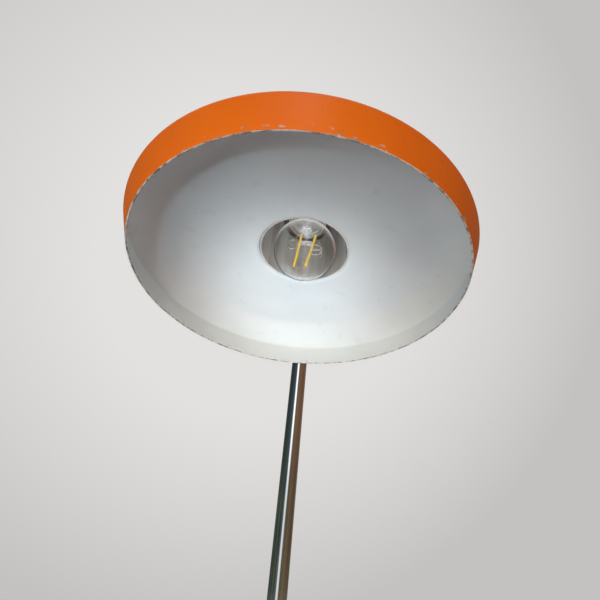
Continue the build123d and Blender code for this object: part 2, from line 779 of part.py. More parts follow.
with BuildPart() as stop_washer:
    with BuildSketch(Plane.XY.offset(stop_washer_top)):
        Circle(stop_washer_radius)
        Rectangle(stop_tab_width, stop_tab_reach, align=(Align.CENTER, Align.MAX))
        Circle(spindle_radius + fit_gap, mode=Mode.SUBTRACT)
    extrude(amount=-stop_washer_thickness)
stop_washer.part.label = "stop_washer"
export_step(stop_washer.part, "parts/stop_washer.step")

with BuildPart() as stem_nut:
    with BuildSketch(Plane.XY.offset(stem_nut_top)):
        RegularPolygon(stem_nut_width / 2, 6, major_radius=False)
        Circle(spindle_radius + fit_gap, mode=Mode.SUBTRACT)
    extrude(amount=-stem_nut_height)
stem_nut.part.label = "stem_nut"
export_step(stem_nut.part, "parts/stem_nut.step")

# Bearing in the base: a flanged seat made of a bush and a flat washer
with BuildPart() as stem_bush:
    with BuildSketch(Plane.XY.offset(recess_top)):
        Circle(bush_radius)
        Circle(spindle_radius + running_gap, mode=Mode.SUBTRACT)
    extrude(amount=base_height - recess_top)
stem_bush.part.label = "stem_bush"
export_step(stem_bush.part, "parts/stem_bush.step")

with BuildPart() as swivel_washer:
    with BuildSketch(Plane.XY.offset(base_height)):
        Circle(swivel_washer_radius)
        Circle(spindle_radius + running_gap, mode=Mode.SUBTRACT)
    extrude(amount=swivel_washer_thickness)
swivel_washer.part.label = "swivel_washer"
export_step(swivel_washer.part, "parts/swivel_washer.step")

# Base cover: one pressed sheet like the shade's, with holes for the stem, the switch and the cord
half_cover = cover_sheet / 2
cover_middle = base_height - half_cover
with BuildPart() as base_cover:
    with BuildSketch(stem_profile):
        with BuildLine():
            skirt_foot = (base_radius - half_cover, skirt_lift + half_cover)
            skirt_top = (base_radius - half_cover, skirt_height)
            Line(skirt_foot, skirt_top)
            TangentArc((base_flat_radius, cover_middle), skirt_top, tangent=(1, 0))
            Line((base_flat_radius, cover_middle), (spindle_radius, cover_middle))
            offset(amount=half_cover, side=Side.BOTH)
        make_face()
    revolve(axis=Axis.Z)
    with BuildSketch(Plane.XY.offset(base_height)):
        Circle(bush_radius + fit_gap)
        with Locations((0, -switch_forward)):
            Circle(switch_neck_radius + fit_gap)
    extrude(amount=-2 * cover_sheet, mode=Mode.SUBTRACT)
    with BuildSketch(Plane(origin=(0, 0, grommet_height), z_dir=(0, 1, 0))):
        Circle(grommet_neck + fit_gap)
    extrude(amount=2 * base_radius, mode=Mode.SUBTRACT)
base_cover.part.label = "base_cover"
export_step(base_cover.part, "parts/base_cover.step")

# Cast weight: a disc with a boss for the bearing, posts for the base plate, and pockets
with BuildPart() as base_weight:
    with BuildSketch(Plane.XY.offset(weight_bottom)):
        Circle(weight_radius)
    extrude(amount=weight_thickness)
    chamfer(base_weight.edges().filter_by(GeomType.CIRCLE), length=weight_chamfer)
    with BuildSketch(Plane.XY.offset(weight_top)):
        Circle(boss_radius)
    extrude(amount=cover_under - weight_top)
    with BuildSketch(Plane.XY.offset(weight_bottom)):
        with PolarLocations(post_circle_radius, post_count, start_angle=90):
            Circle(post_radius)
    extrude(amount=-wiring_space)
    with BuildSketch(Plane.XY.offset(weight_bottom)):
        Circle(recess_radius)
    extrude(amount=recess_depth, mode=Mode.SUBTRACT)
    with BuildSketch(Plane.XY.offset(weight_bottom)):
        Circle(bush_radius + fit_gap)
        with Locations((0, -switch_forward)):
            Circle(switch_can_radius + switch_space)
        with Locations((0, lead_rise_back)):
            Circle(lead_way)
    extrude(amount=cover_under - weight_bottom, mode=Mode.SUBTRACT)
    with BuildSketch(Plane.XY.offset(weight_top)):
        with Locations((0, block_back)):
            Rectangle(block_length + 2 * fit_gap, block_depth + 2 * fit_gap)
    extrude(amount=-block_pocket, mode=Mode.SUBTRACT)
    with BuildSketch(Plane.XY.offset(plate_top)):
        with PolarLocations(post_circle_radius, post_count, start_angle=90):
            Circle(plate_screw_radius + fit_gap)
    extrude(amount=plate_screw_length, mode=Mode.SUBTRACT)
    with BuildSketch(Plane.XY.offset(recess_top)):
        with Locations((0, stop_peg_inner)):
            Rectangle(stop_peg_width, recess_radius - stop_peg_inner + fit_gap,
                      align=(Align.CENTER, Align.MIN))
    extrude(amount=stem_nut_top - recess_top)
base_weight.part.label = "base_weight"
export_step(base_weight.part, "parts/base_weight.step")

# Base plate, its screws and the felt below it
with BuildPart() as base_plate:
    with BuildSketch(Plane.XY.offset(felt_thickness)):
        Circle(plate_radius)
        with PolarLocations(post_circle_radius, post_count, start_angle=90):
            Circle(plate_screw_radius + fit_gap, mode=Mode.SUBTRACT)
    extrude(amount=plate_thickness)
base_plate.part.label = "base_plate"
export_step(base_plate.part, "parts/base_plate.step")

with BuildPart() as plate_screws:
    with BuildSketch(Plane.XY.offset(felt_thickness)):
        with PolarLocations(post_circle_radius, post_count, start_angle=90):
            Circle(plate_screw_head)
    extrude(amount=-plate_screw_head_height)
    with BuildSketch(Plane.XY.offset(felt_thickness)):
        with PolarLocations(post_circle_radius, post_count, start_angle=90):
            Circle(plate_screw_radius)
    extrude(amount=plate_screw_length)
plate_screws.part.label = "plate_screws"
export_step(plate_screws.part, "parts/plate_screws.step")

with BuildPart() as felt_pad:
    with BuildSketch(Plane.XY):
        Circle(base_radius - felt_inset)
        with PolarLocations(post_circle_radius, post_count, start_angle=90):
            Circle(plate_screw_head + face_gap, mode=Mode.SUBTRACT)
    extrude(amount=felt_thickness)
felt_pad.part.label = "felt_pad"
export_step(felt_pad.part, "parts/felt_pad.step")


# Cord grommet: a rubber bush buttoned into the skirt's back
def back_plane(place):
    """Upright plane across the cord's axis at this Y; its normal points backwards."""
    return Plane(origin=(0, place, grommet_height), z_dir=(0, 1, 0))


with BuildPart() as cord_grommet:
    with BuildSketch(back_plane(grommet_inner)):
        Circle(grommet_flange)
    extrude(amount=grommet_flange_thickness)
    with BuildSketch(back_plane(grommet_inner)):
        Circle(grommet_neck)
    extrude(amount=base_radius - grommet_inner)
    with BuildSketch(back_plane(base_radius)):
        Circle(grommet_flange)
    extrude(amount=grommet_flange_thickness)
    with BuildSketch(back_plane(grommet_inner)):
        Circle(grommet_bore)
    extrude(amount=grommet_outer - grommet_inner, mode=Mode.SUBTRACT)
cord_grommet.part.label = "cord_grommet"
export_step(cord_grommet.part, "parts/cord_grommet.step")


# Push switch: can and neck, nut below the cover, bezel above it, button, and two tabs
def switch_level(height):
    """Horizontal plane at this height, centred on the switch."""
    return Plane((0, -switch_forward, height))


with BuildPart() as switch_can:
    with BuildSketch(switch_level(switch_can_top)):
        Circle(switch_can_radius)
    extrude(amount=-switch_can_height)
    with BuildSketch(switch_level(switch_can_top)):
        Circle(switch_neck_radius)
    extrude(amount=neck_top - switch_can_top)
    with BuildSketch(switch_level(neck_top)):
        Circle(button_radius + sliding_gap)
    extrude(amount=-button_stem - button_travel - sliding_gap, mode=Mode.SUBTRACT)
switch_can.part.label = "switch_can"
export_step(switch_can.part, "parts/switch_can.step")

with BuildPart() as switch_nut:
    with BuildSketch(switch_level(switch_can_top)):
        Circle(switch_nut_radius)
        Circle(switch_neck_radius + fit_gap, mode=Mode.SUBTRACT)
    extrude(amount=switch_nut_height)
switch_nut.part.label = "switch_nut"
export_step(switch_nut.part, "parts/switch_nut.step")

with BuildPart() as switch_bezel:
    with BuildSketch(switch_level(base_height)):
        Circle(bezel_radius)
    extrude(amount=bezel_height)
    fillet(switch_bezel.faces().sort_by(Axis.Z)[-1].edges(), radius=bezel_height / 2)
    with BuildSketch(switch_level(base_height)):
        Circle(switch_neck_radius + fit_gap)
    extrude(amount=bezel_height, mode=Mode.SUBTRACT)
switch_bezel.part.label = "switch_bezel"
export_step(switch_bezel.part, "parts/switch_bezel.step")

with BuildPart() as switch_button:
    with BuildSketch(switch_level(button_bottom)):
        Circle(button_radius)
    extrude(amount=button_stem + button_rise)
    fillet(switch_button.faces().sort_by(Axis.Z)[-1].edges(), radius=button_fillet)
switch_button.part.label = "switch_button"
export_step(switch_button.part, "parts/switch_button.step")

tab_start = -switch_forward + switch_can_radius
with BuildPart() as switch_tabs:
    with BuildSketch(Plane.XY.offset(pole_z - tab_thickness / 2)):
        with Locations((0, tab_start)):
            with GridLocations(tab_spacing, 0, 2, 1):
                Rectangle(tab_width, tab_length, align=(Align.CENTER, Align.MIN))
    extrude(amount=tab_thickness)
switch_tabs.part.label = "switch_tabs"
export_step(switch_tabs.part, "parts/switch_tabs.step")

# Terminal block in its pocket, with three poles and their screws
block_top = block_bottom + block_height
with BuildPart() as terminal_block:
    with BuildSketch(Plane.XY.offset(block_bottom)):
        with Locations((0, block_back)):
            Rectangle(block_length, block_depth)
    extrude(amount=block_height)
    with BuildSketch(Plane(origin=(0, block_front, pole_z), x_dir=(1, 0, 0), z_dir=(0, 1, 0))):
        with GridLocations(pole_spacing, 0, 3, 1):
            Circle(block_hole_radius)
    extrude(amount=block_depth, mode=Mode.SUBTRACT)
    with BuildSketch(Plane.XY.offset(block_top)):
        with Locations((0, block_back)):
            with GridLocations(pole_spacing, block_screw_spacing, 3, 2):
                Circle(block_screw_radius + fit_gap)
    extrude(amount=pole_z - block_top, mode=Mode.SUBTRACT)
terminal_block.part.label = "terminal_block"
export_step(terminal_block.part, "parts/terminal_block.step")

with BuildPart() as terminal_screws:
    with BuildSketch(Plane.XY.offset(block_top - block_screw_sink)):
        with Locations((0, block_back)):
            with GridLocations(pole_spacing, block_screw_spacing, 3, 2):
                Circle(block_screw_radius)
    extrude(amount=pole_z + block_hole_radius - block_top + block_screw_sink)
terminal_screws.part.label = "terminal_screws"
export_step(terminal_screws.part, "parts/terminal_screws.step")

# Leads in the base: one from under the spindle to the block, and two from the block to the switch
under_weight = plate_top + wiring_space / 2
with BuildPart() as base_lead:
    with BuildLine() as base_route:
        FilletPolyline(
            (0, 0, spindle_bottom),
            (0, 0, under_weight),
            (0, lead_rise_back, under_weight),
            (0, lead_rise_back, pole_z),
            (0, block_front + lead_entry, pole_z),
            radius=lead_bend,
        )
    with BuildSketch(Plane(origin=base_route.line @ 0, z_dir=base_route.line % 0)):
        Circle(lead_radius)
    sweep(path=base_route.line)
base_lead.part.label = "base_lead"
export_step(base_lead.part, "parts/base_lead.step")

with BuildPart() as switch_leads:
    for side in (-1, 1):
        with BuildLine(Plane.XY.offset(pole_z)) as switch_route:
            FilletPolyline(
                (side * tab_spacing / 2, tab_start + tab_length),
                (side * tab_spacing / 2, tab_start + tab_length + lead_straight),
                (side * lead_detour, -lead_detour / 2),
                (side * lead_detour, lead_detour / 2),
                (side * pole_spacing, block_front - lead_straight),
                (side * pole_spacing, block_front + lead_entry),
                radius=lead_bend,
            )
        with BuildSketch(Plane(origin=switch_route.line @ 0, z_dir=switch_route.line % 0)):
            Circle(wire_lead_radius)
        sweep(path=switch_route.line)
switch_leads.part.label = "switch_leads"
export_step(switch_leads.part, "parts/switch_leads.step")
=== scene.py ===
import json
import math

import bmesh
import bpy
import numpy as np
from mathutils import Matrix, Vector

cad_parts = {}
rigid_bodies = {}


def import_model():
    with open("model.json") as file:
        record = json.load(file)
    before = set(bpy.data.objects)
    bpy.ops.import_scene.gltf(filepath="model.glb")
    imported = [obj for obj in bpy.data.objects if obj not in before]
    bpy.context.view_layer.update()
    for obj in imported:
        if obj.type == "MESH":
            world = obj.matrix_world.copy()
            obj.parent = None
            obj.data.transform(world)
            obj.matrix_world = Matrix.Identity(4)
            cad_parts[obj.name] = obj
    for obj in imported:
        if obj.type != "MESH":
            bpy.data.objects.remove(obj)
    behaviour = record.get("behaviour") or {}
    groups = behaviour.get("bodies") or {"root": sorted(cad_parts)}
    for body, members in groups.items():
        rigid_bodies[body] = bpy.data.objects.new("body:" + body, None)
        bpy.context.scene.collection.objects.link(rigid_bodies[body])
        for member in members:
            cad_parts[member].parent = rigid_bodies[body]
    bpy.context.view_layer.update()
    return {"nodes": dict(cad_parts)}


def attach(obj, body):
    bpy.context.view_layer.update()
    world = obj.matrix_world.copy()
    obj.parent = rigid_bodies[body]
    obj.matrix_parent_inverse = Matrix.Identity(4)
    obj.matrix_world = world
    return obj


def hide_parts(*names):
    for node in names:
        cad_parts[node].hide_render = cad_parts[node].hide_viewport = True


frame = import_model()
cad = frame["nodes"]


# Camera: a telephone held under the lamp's front edge and tipped up, so the dish is seen from below.
# Its place, turn and lens come from the shade's rim, the crease, the hole and the tube.
lens_data = bpy.data.cameras.new("camera")
lens_data.lens = 22.8
lens_data.sensor_width = 36.0
lens_data.shift_x = -0.045
lens_data.shift_y = 0.0155
lens_data.clip_start = 0.01
camera = bpy.data.objects.new("camera", lens_data)
bpy.context.scene.collection.objects.link(camera)
camera.matrix_world = Matrix((
    (0.99646, -0.07732, -0.03296, 0.0104),
    (-0.07169, -0.57694, -0.81363, -0.3332),
    (0.04390, 0.81310, -0.58040, 0.1305),
    (0.0, 0.0, 0.0, 1.0),
))
bpy.context.scene.camera = camera
bpy.context.scene.view_settings.view_transform = "Standard"


# Studio: a pale plain room. What the camera sees directly is a soft round glow on a wall; what polished
# metal sees is a room with a lit window in front, dark leaves on the left and brown wood on the right.
def brush(tree, kind, feeds, **marks):
    """Adds one shader node. Each feed is a plain value, or another node's output that is joined to the
    socket."""
    made = tree.nodes.new("ShaderNode" + kind)
    for mark, value in marks.items():
        setattr(made, mark, value)
    for socket, value in feeds.items():
        if isinstance(value, bpy.types.NodeSocket):
            tree.links.new(value, made.inputs[socket])
        else:
            made.inputs[socket].default_value = value
    return made


def reckon(tree, operation, *values):
    """The number that an operation makes of one, two or three others."""
    return brush(tree, "Math", dict(enumerate(values)), operation=operation).outputs[0]


def blend(tree, share, first, second):
    """A colour that is first where share is 0 and second where share is 1."""
    return brush(tree, "Mix", {0: share, 6: first, 7: second}, data_type="RGBA").outputs[2]


def span(tree, value, low, high, start=0.0, end=1.0):
    """A number that runs from start to end as value runs from low to high, and stays between them
    outside."""
    feeds = {0: value, 1: low, 2: high, 3: start, 4: end}
    return brush(tree, "MapRange", feeds).outputs[0]


def tones(tree, value, stops):
    """A run of colours along a number; each stop is (place, colour)."""
    ramp = brush(tree, "ValToRGB", {0: value})
    ramp.color_ramp.elements[0].position, ramp.color_ramp.elements[0].color = stops[0]
    ramp.color_ramp.elements[1].position, ramp.color_ramp.elements[1].color = stops[-1]
    for place, colour in stops[1:-1]:
        ramp.color_ramp.elements.new(place).color = colour
    return ramp.outputs[0]


room = bpy.data.worlds.new("room")
bpy.context.scene.world = room
room.use_nodes = True
tree = room.node_tree
tree.nodes.clear()
ray = brush(tree, "TexCoord", {}).outputs["Generated"]
glow_towards = (-0.1396, 0.7487, 0.6479)
glow = brush(tree, "VectorMath", {0: ray, 1: glow_towards}, operation="DOT_PRODUCT").outputs["Value"]
wall = tones(tree, span(tree, glow, 0.70, 0.93), (
    (0.0, (0.546, 0.539, 0.527, 1)),
    (0.5, (0.655, 0.648, 0.635, 1)),
    (1.0, (0.76, 0.752, 0.737, 1)),
))
ways = brush(tree, "SeparateXYZ", {0: ray}).outputs
bearing = reckon(tree, "ARCTAN2", ways["X"], reckon(tree, "MULTIPLY", ways["Y"], -1.0))

# The stops run once round the lamp: straight behind, the leaves on the left, the window, the wood on the
# right.
behind = (0.16, 0.17, 0.18, 1)
seen_round = tones(tree, span(tree, bearing, -math.pi, math.pi), (
    (0.0, behind),
    (0.12, (0.05, 0.06, 0.07, 1)),
    (0.24, (0.03, 0.04, 0.038, 1)),
    (0.40, (0.06, 0.078, 0.078, 1)),
    (0.438, (0.12, 0.17, 0.22, 1)),
    (0.466, (1.5, 1.55, 1.6, 1)),
    (0.505, (1.4, 1.4, 1.4, 1)),
    (0.53, (0.14, 0.11, 0.08, 1)),
    (0.60, (0.20, 0.12, 0.075, 1)),
    (0.78, (0.16, 0.075, 0.035, 1)),
    (0.90, (0.20, 0.15, 0.11, 1)),
    (1.0, behind),
))
leaves = brush(tree, "TexNoise", {"Vector": ray, "Scale": 5.0, "Detail": 3.0, "Distortion": 1.2}).outputs[0]
dappled = span(tree, leaves, 0.42, 0.62)
greenery = blend(tree, dappled, (0.012, 0.02, 0.016, 1), (0.14, 0.17, 0.09, 1))
low_down = span(tree, ways["Z"], 0.14, 0.30, 1.0, 0.0)
leafy = blend(tree, reckon(tree, "MULTIPLY", low_down, 0.45), seen_round, greenery)
overhead = blend(tree, span(tree, ways["Z"], 0.55, 0.85), leafy, (0.55, 0.56, 0.57, 1))
below = blend(tree, span(tree, ways["Z"], -0.25, -0.02, 1.0, 0.0), overhead, (0.42, 0.41, 0.39, 1))
rays = brush(tree, "LightPath", {}).outputs
glossy = brush(tree, "Background", {0: below, 1: 1.0}).outputs[0]
ambient = brush(tree, "Background", {0: (0.80, 0.83, 0.86, 1), 1: 0.02}).outputs[0]
plain = brush(tree, "Background", {0: wall, 1: 1.0}).outputs[0]
bounced = brush(tree, "MixShader", {0: rays["Is Glossy Ray"], 1: ambient, 2: glossy}).outputs[0]
direct = brush(tree, "MixShader", {0: rays["Is Camera Ray"], 1: bounced, 2: plain}).outputs[0]
brush(tree, "OutputWorld", {0: direct})


# Lamps: a low window on the left, a warm wall in front, weak light from the right, the ceiling and the
# back, and two narrow cool lamps that make the bright pool behind the hole. Neither the camera nor polished
# metal sees them.
def stand_lamp(name, data, place, aim, power, colour):
    """Stands a lamp of this power and colour at place and turns it towards aim."""
    data.energy = power
    data.color = colour
    lamp = bpy.data.objects.new(name, data)
    bpy.context.scene.collection.objects.link(lamp)
    lamp.location = place
    lamp.rotation_euler = (Vector(aim) - Vector(place)).to_track_quat("-Z", "Y").to_euler()
    lamp.visible_camera = False
    lamp.visible_glossy = False


def softbox(name, place, size, power, colour=(1, 1, 1)):
    """A square lamp of this size that faces the middle of the shade."""
    data = bpy.data.lights.new(name, "AREA")
    data.shape = "SQUARE"
    data.size = size
    shade_middle = (0.0, -0.13, 0.31)
    stand_lamp(name, data, place, shade_middle, power, colour)


def snoot(name, place, aim, cone, power, colour, radius):
    """A round lamp whose beam spreads over this many degrees and fades softly to its edge."""
    data = bpy.data.lights.new(name, "SPOT")
    data.spot_size = math.radians(cone)
    data.spot_blend = 1.0
    data.shadow_soft_size = radius
    stand_lamp(name, data, place, aim, power, colour)


softbox("low_window", (-1.158, -1.288, -0.837), 1.2, 13.4, (0.90, 1.0, 0.98))
softbox("front_wall", (0.0, -2.05, -0.24), 0.8, 17.8, (1.0, 0.77, 0.54))
softbox("right_wall", (1.532, -0.13, -0.976), 1.2, 1.8, (1.0, 0.80, 0.42))
softbox("near_fill", (0.0967, -0.0333, -0.0659), 0.25, 0.28, (0.62, 0.80, 1.0))
softbox("ceiling", (0.2, 0.2, 2.2), 1.6, 70.0, (1.0, 0.98, 0.96))
softbox("back_wall", (0.7, 1.9, 0.8), 1.4, 8.0)
snoot("pool_below", (0.0, -0.35, -0.45), (0.0, -0.088, 0.322), 12.0, 9.4, (0.80, 0.90, 0.96), 0.03)
snoot("pool_front", (-0.1, -0.60, -0.20), (-0.015, -0.075, 0.320), 16.0, 15.0, (0.75, 0.90, 1.0), 0.05)


# Table: a pale round board under the lamp, seen only from above. Its edge melts into the room, and it
# neither throws a shadow nor sends light back.
def skin(name, grid, loop=True, marks=None):
    """One surface over a grid of points. Face (i, j) joins point (i, j) with its neighbours at i + 1 and
    j + 1. The second side of the grid always closes on itself, and the first does where loop is true. Points
    that fall together at a pole are merged, faces are turned outwards, and sharp edges stay crisp."""
    rows, turns = grid.shape[:2]
    i = np.arange(rows if loop else rows - 1)[:, None]
    j = np.arange(turns)[None, :]
    on, ahead = (i + 1) % rows, (j + 1) % turns
    faces = np.stack([i * turns + j, i * turns + ahead, on * turns + ahead, on * turns + j], axis=-1)
    mesh = bpy.data.meshes.new(name)
    mesh.from_pydata(grid.reshape(-1, 3), [], faces.reshape(-1, 4))
    for mark, values in (marks or {}).items():
        layer = mesh.attributes.new(mark, "FLOAT", "POINT")
        layer.data.foreach_set("value", np.ascontiguousarray(values, np.float32).ravel())
    work = bmesh.new()
    work.from_mesh(mesh)
    bmesh.ops.remove_doubles(work, verts=work.verts, dist=1e-7)
    bmesh.ops.recalc_face_normals(work, faces=work.faces)
    work.to_mesh(mesh)
    work.free()
    crisp_angle = 38.0
    mesh.polygons.foreach_set("use_smooth", np.ones(len(mesh.polygons), bool))
    mesh.set_sharp_from_angle(angle=math.radians(crisp_angle))
    piece = bpy.data.objects.new(name, mesh)
    bpy.context.scene.collection.objects.link(piece)
    return piece


def sockets_of(finish):
    """The finish's node tree, its main shader's inputs and the place on the piece."""
    tree = finish.node_tree
    return tree, tree.nodes["Principled BSDF"].inputs, brush(tree, "TexCoord", {}).outputs["Object"]


def new_finish(name):
    """A new material, with its node tree, its main shader's inputs and the place on the piece."""
    finish = bpy.data.materials.new(name)
    finish.use_nodes = True
    return (finish, *sockets_of(finish))


def length_of(tree, vector):
    """The length of a vector, such as how far a place lies from the middle."""
    return brush(tree, "VectorMath", {0: vector}, operation="LENGTH").outputs["Value"]


board_turn = np.linspace(0, 2 * np.pi, 96, endpoint=False)
board_reach = np.array([0.0, 0.3, 0.8, 1.6, 2.6])[:, None]
board_drop = 0.0004
board_grid = np.stack([board_reach * np.cos(board_turn), board_reach * np.sin(board_turn),
                       0 * board_reach * board_turn - board_drop], axis=-1)
board = skin("table", board_grid, loop=False)
board.data.flip_normals()
board_paint, tree, inputs, place = new_finish("table_paint")
mottle = brush(tree, "TexNoise", {"Vector": place, "Scale": 9.0, "Detail": 3.0}).outputs[0]
board_tone = blend(tree, mottle, (0.66, 0.655, 0.64, 1), (0.72, 0.715, 0.70, 1))
tree.links.new(board_tone, inputs["Base Color"])
inputs["Roughness"].default_value = 0.75
from_below = brush(tree, "NewGeometry", {}).outputs["Backfacing"]
gone = reckon(tree, "MAXIMUM", span(tree, length_of(tree, place), 0.7, 2.3), from_below)
painted = tree.nodes["Principled BSDF"].outputs[0]
clear = brush(tree, "BsdfTransparent", {}).outputs[0]
edge = brush(tree, "MixShader", {0: gone, 1: painted, 2: clear}).outputs[0]
tree.links.new(edge, tree.nodes["Material Output"].inputs[0])
board.data.materials.append(board_paint)
board.visible_shadow = False
board.visible_diffuse = False


# Shade: one sheet of steel 1.2 mm thick, pressed to a shallow dish with a leaning skirt, a soft shoulder
# and a round hole with an upturned collar. It is stove-enamelled, orange outside and white inside, and the
# raw edge is rubbed pale and chipped.
head_axis = np.array([0.0, -0.132, 0.0])
UPRIGHT = np.eye(3)


def turned(name, outline, foot, axes=UPRIGHT, turns=96, wave=None, marks=None):
    """Carries a closed outline of (radius, height) pairs round an axis through foot: at angle a the point
    stands at radius * cos(a) and radius * sin(a) across the axis, and at height along it. wave(radius,
    height, a) may change the radius and the height first. The rows of axes are the directions of across,
    across and along."""
    angle = np.linspace(0, 2 * np.pi, turns, endpoint=False)
    radius = outline[:, :1] + 0 * angle
    height = outline[:, 1:2] + 0 * angle
    if wave:
        radius, height = wave(radius, height, angle)
    local = np.stack([radius * np.cos(angle), radius * np.sin(angle), height], axis=-1)
    return skin(name, np.asarray(foot) + local @ np.asarray(axes, float), marks=marks)


def bent(start, corner, end, steps=9):
    """A curve that leaves start towards corner and reaches end from corner. Its three weights are (1-t)^2,
    2t(1-t) and t^2."""
    t = np.linspace(0, 1, steps)[:, None]
    return (1 - t) ** 2 * np.array(start) + 2 * t * (1 - t) * np.array(corner) + t ** 2 * np.array(end)


edge_points = 5


def sheet_outline(middle, half):
    """Both faces of a sheet from its middle line: each point moves half a thickness to the left and to the
    right of the line, and a half circle closes each edge."""
    along = np.gradient(middle, axis=0)
    along /= np.linalg.norm(along, axis=1, keepdims=True)
    left = np.stack([-along[:, 1], along[:, 0]], axis=1) * half
    turn = np.linspace(0, np.pi, edge_points + 2)[1:-1, None]
    far = middle[-1] + left[-1] * np.cos(turn) + along[-1] * half * np.sin(turn)
    near = middle[0] - left[0] * np.cos(turn) - along[0] * half * np.sin(turn)
    return np.concatenate([middle + left, far, (middle - left)[::-1], near])


sheet_half = 0.0006
rim = np.array([0.1100, 0.2906])
shoulder = np.array([0.1170, 0.3102])
shoulder_bend = 0.0018
flank_radius = 0.0407
flank_start = 0.045
roof_height = 0.3224
roof_edge = 0.0880
collar_wall = 0.0326
collar_bend = 0.0024
collar_top = 0.3309
skirt_way = (shoulder - rim) / np.linalg.norm(shoulder - rim)
skirt = np.linspace(rim, shoulder - shoulder_bend * skirt_way, 14)
steepest = math.asin((shoulder[0] - roof_edge) / flank_radius) - flank_start
lean = np.linspace(steepest, 0, 28)[:, None]
flank = np.concatenate([roof_edge + flank_radius * np.sin(lean),
                        roof_height - flank_radius * (1 - np.cos(lean))], axis=1)
roof = np.linspace((roof_edge, roof_height), (collar_wall + collar_bend, roof_height), 30)[1:]
collar_foot = (collar_wall, roof_height + collar_bend)
lip = bent(roof[-1], (collar_wall, roof_height), collar_foot, 8)
collar = np.linspace(collar_foot, (collar_wall, collar_top), 6)
turn_over = bent(skirt[-1], shoulder, flank[0])
middle = np.concatenate([skirt, turn_over[1:-1], flank, roof, lip[1:], collar[1:]])
fade = np.linspace(1, 0, edge_points + 2)[1:-1]
inside_share = np.concatenate([np.ones(len(middle)), fade, np.zeros(len(middle)), fade[::-1]])


def hand_worn(radius, height, angle):
    """The rim is a little out of true: its height and radius follow slow waves that die out 25 mm above it,
    and small nicks stand in its very edge."""
    wear_top, wear_height = 0.315, 0.025
    near_rim = np.clip((wear_top - height) / wear_height, 0, 1) ** 2
    edge_top, edge_height = 0.2912, 0.001
    edge_only = np.clip((edge_top - height) / edge_height, 0, 1)
    wander = (0.00016 * np.sin(3 * angle + 0.6) + 0.0001 * np.sin(7 * angle + 2.1)
              + 0.00006 * np.sin(17 * angle))
    nick = 0.00014 * np.sin(61 * angle) * np.sin(23 * angle + 1.0) * np.sin(5 * angle + 0.4) ** 2
    worn_height = height + near_rim * np.abs(wander) + edge_only * np.abs(nick)
    return radius - 0.0002 * near_rim * (1 + np.sin(2 * angle)), worn_height


rim_turns = 480
shade = turned("shade_dish", sheet_outline(middle, sheet_half), head_axis, turns=rim_turns, wave=hand_worn,
               marks={"inside": np.repeat(inside_share[:, None], rim_turns, axis=1)})


def cloud(tree, coords, size, detail=3.0, rough=0.5):
    """A soft random pattern between 0 and 1 whose blots are about size metres across."""
    feeds = {"Vector": coords, "Scale": 1.0 / size, "Detail": detail, "Roughness": rough}
    return brush(tree, "TexNoise", feeds).outputs[0]


def level_of(tree, place):
    """The height of a place on the piece."""
    return brush(tree, "SeparateXYZ", {0: place}).outputs["Z"]


def relief(tree, inputs, height, depth, before=None):
    """Raises the surface by height times depth metres, on top of an earlier relief if one is given."""
    feeds = {"Height": height, "Distance": depth, "Strength": 1.0}
    if before is not None:
        feeds["Normal"] = before
    raised = brush(tree, "Bump", feeds).outputs[0]
    tree.links.new(raised, inputs["Normal"])
    return raised


def enamelled(tree, inputs, place, lost, coat):
    """The surface of stove enamel: a fine orange peel, a step down where the enamel is lost, and a clear
    coat."""
    peel = relief(tree, inputs, cloud(tree, place, 0.0022, 1.0), 0.00004)
    relief(tree, inputs, lost, -0.00008, peel)
    inputs["Coat Weight"].default_value = coat
    inputs["Coat Roughness"].default_value = 0.12


enamel, tree, inputs, place = new_finish("enamel_two_tone")
inside = brush(tree, "Attribute", {}, attribute_name="inside").outputs["Fac"]
height = level_of(tree, place)

# The orange is flecked with dust that was baked in, and the white is a little smoked.
orange_drift = cloud(tree, place, 0.05, 4.0)
orange = tones(tree, orange_drift, ((0.3, (0.93, 0.175, 0.006, 1)), (0.7, (0.98, 0.205, 0.009, 1))))
dust = span(tree, cloud(tree, place, 0.0012, 2.0), 0.66, 0.74)
dusty = span(tree, cloud(tree, place, 0.03), 0.5, 0.7)
orange = blend(tree, reckon(tree, "MULTIPLY", dust, dusty), orange, (0.35, 0.09, 0.02, 1))
white_drift = cloud(tree, place, 0.045, 4.0)
white = tones(tree, white_drift, ((0.3, (0.70, 0.725, 0.73, 1)), (0.7, (0.76, 0.78, 0.785, 1))))
smoke = span(tree, cloud(tree, place, 0.012, 5.0, 0.6), 0.60, 0.78)
white = blend(tree, reckon(tree, "MULTIPLY", smoke, 0.35), white, (0.55, 0.55, 0.53, 1))

# The two colours meet in a ragged line on the raw edge, which is rubbed down to steel in places.
ragged = reckon(tree, "SUBTRACT", cloud(tree, place, 0.0016), 0.5)
worn_side = reckon(tree, "MULTIPLY_ADD", ragged, 0.55, inside)
two_tone = blend(tree, span(tree, worn_side, 0.30, 0.36), orange, white)
away = reckon(tree, "ABSOLUTE", reckon(tree, "SUBTRACT", inside, 0.5))
low_edge = span(tree, height, 0.2922, 0.2930, 1.0, 0.0)
rubbed = reckon(tree, "MULTIPLY", span(tree, away, 0.32, 0.47, 1.0, 0.0), low_edge)
chips = span(tree, cloud(tree, place, 0.0035, 4.0, 0.62), 0.60, 0.66)
near_edge = span(tree, height, 0.2912, 0.2945, 1.0, 0.0)
lost = reckon(tree, "MAXIMUM", rubbed, reckon(tree, "MULTIPLY", chips, near_edge))
bare = tones(tree, cloud(tree, place, 0.004, 4.0), (
    (0.35, (0.20, 0.17, 0.15, 1)),
    (0.5, (0.55, 0.53, 0.50, 1)),
    (0.62, (0.74, 0.73, 0.70, 1)),
))
tree.links.new(blend(tree, lost, two_tone, bare), inputs["Base Color"])
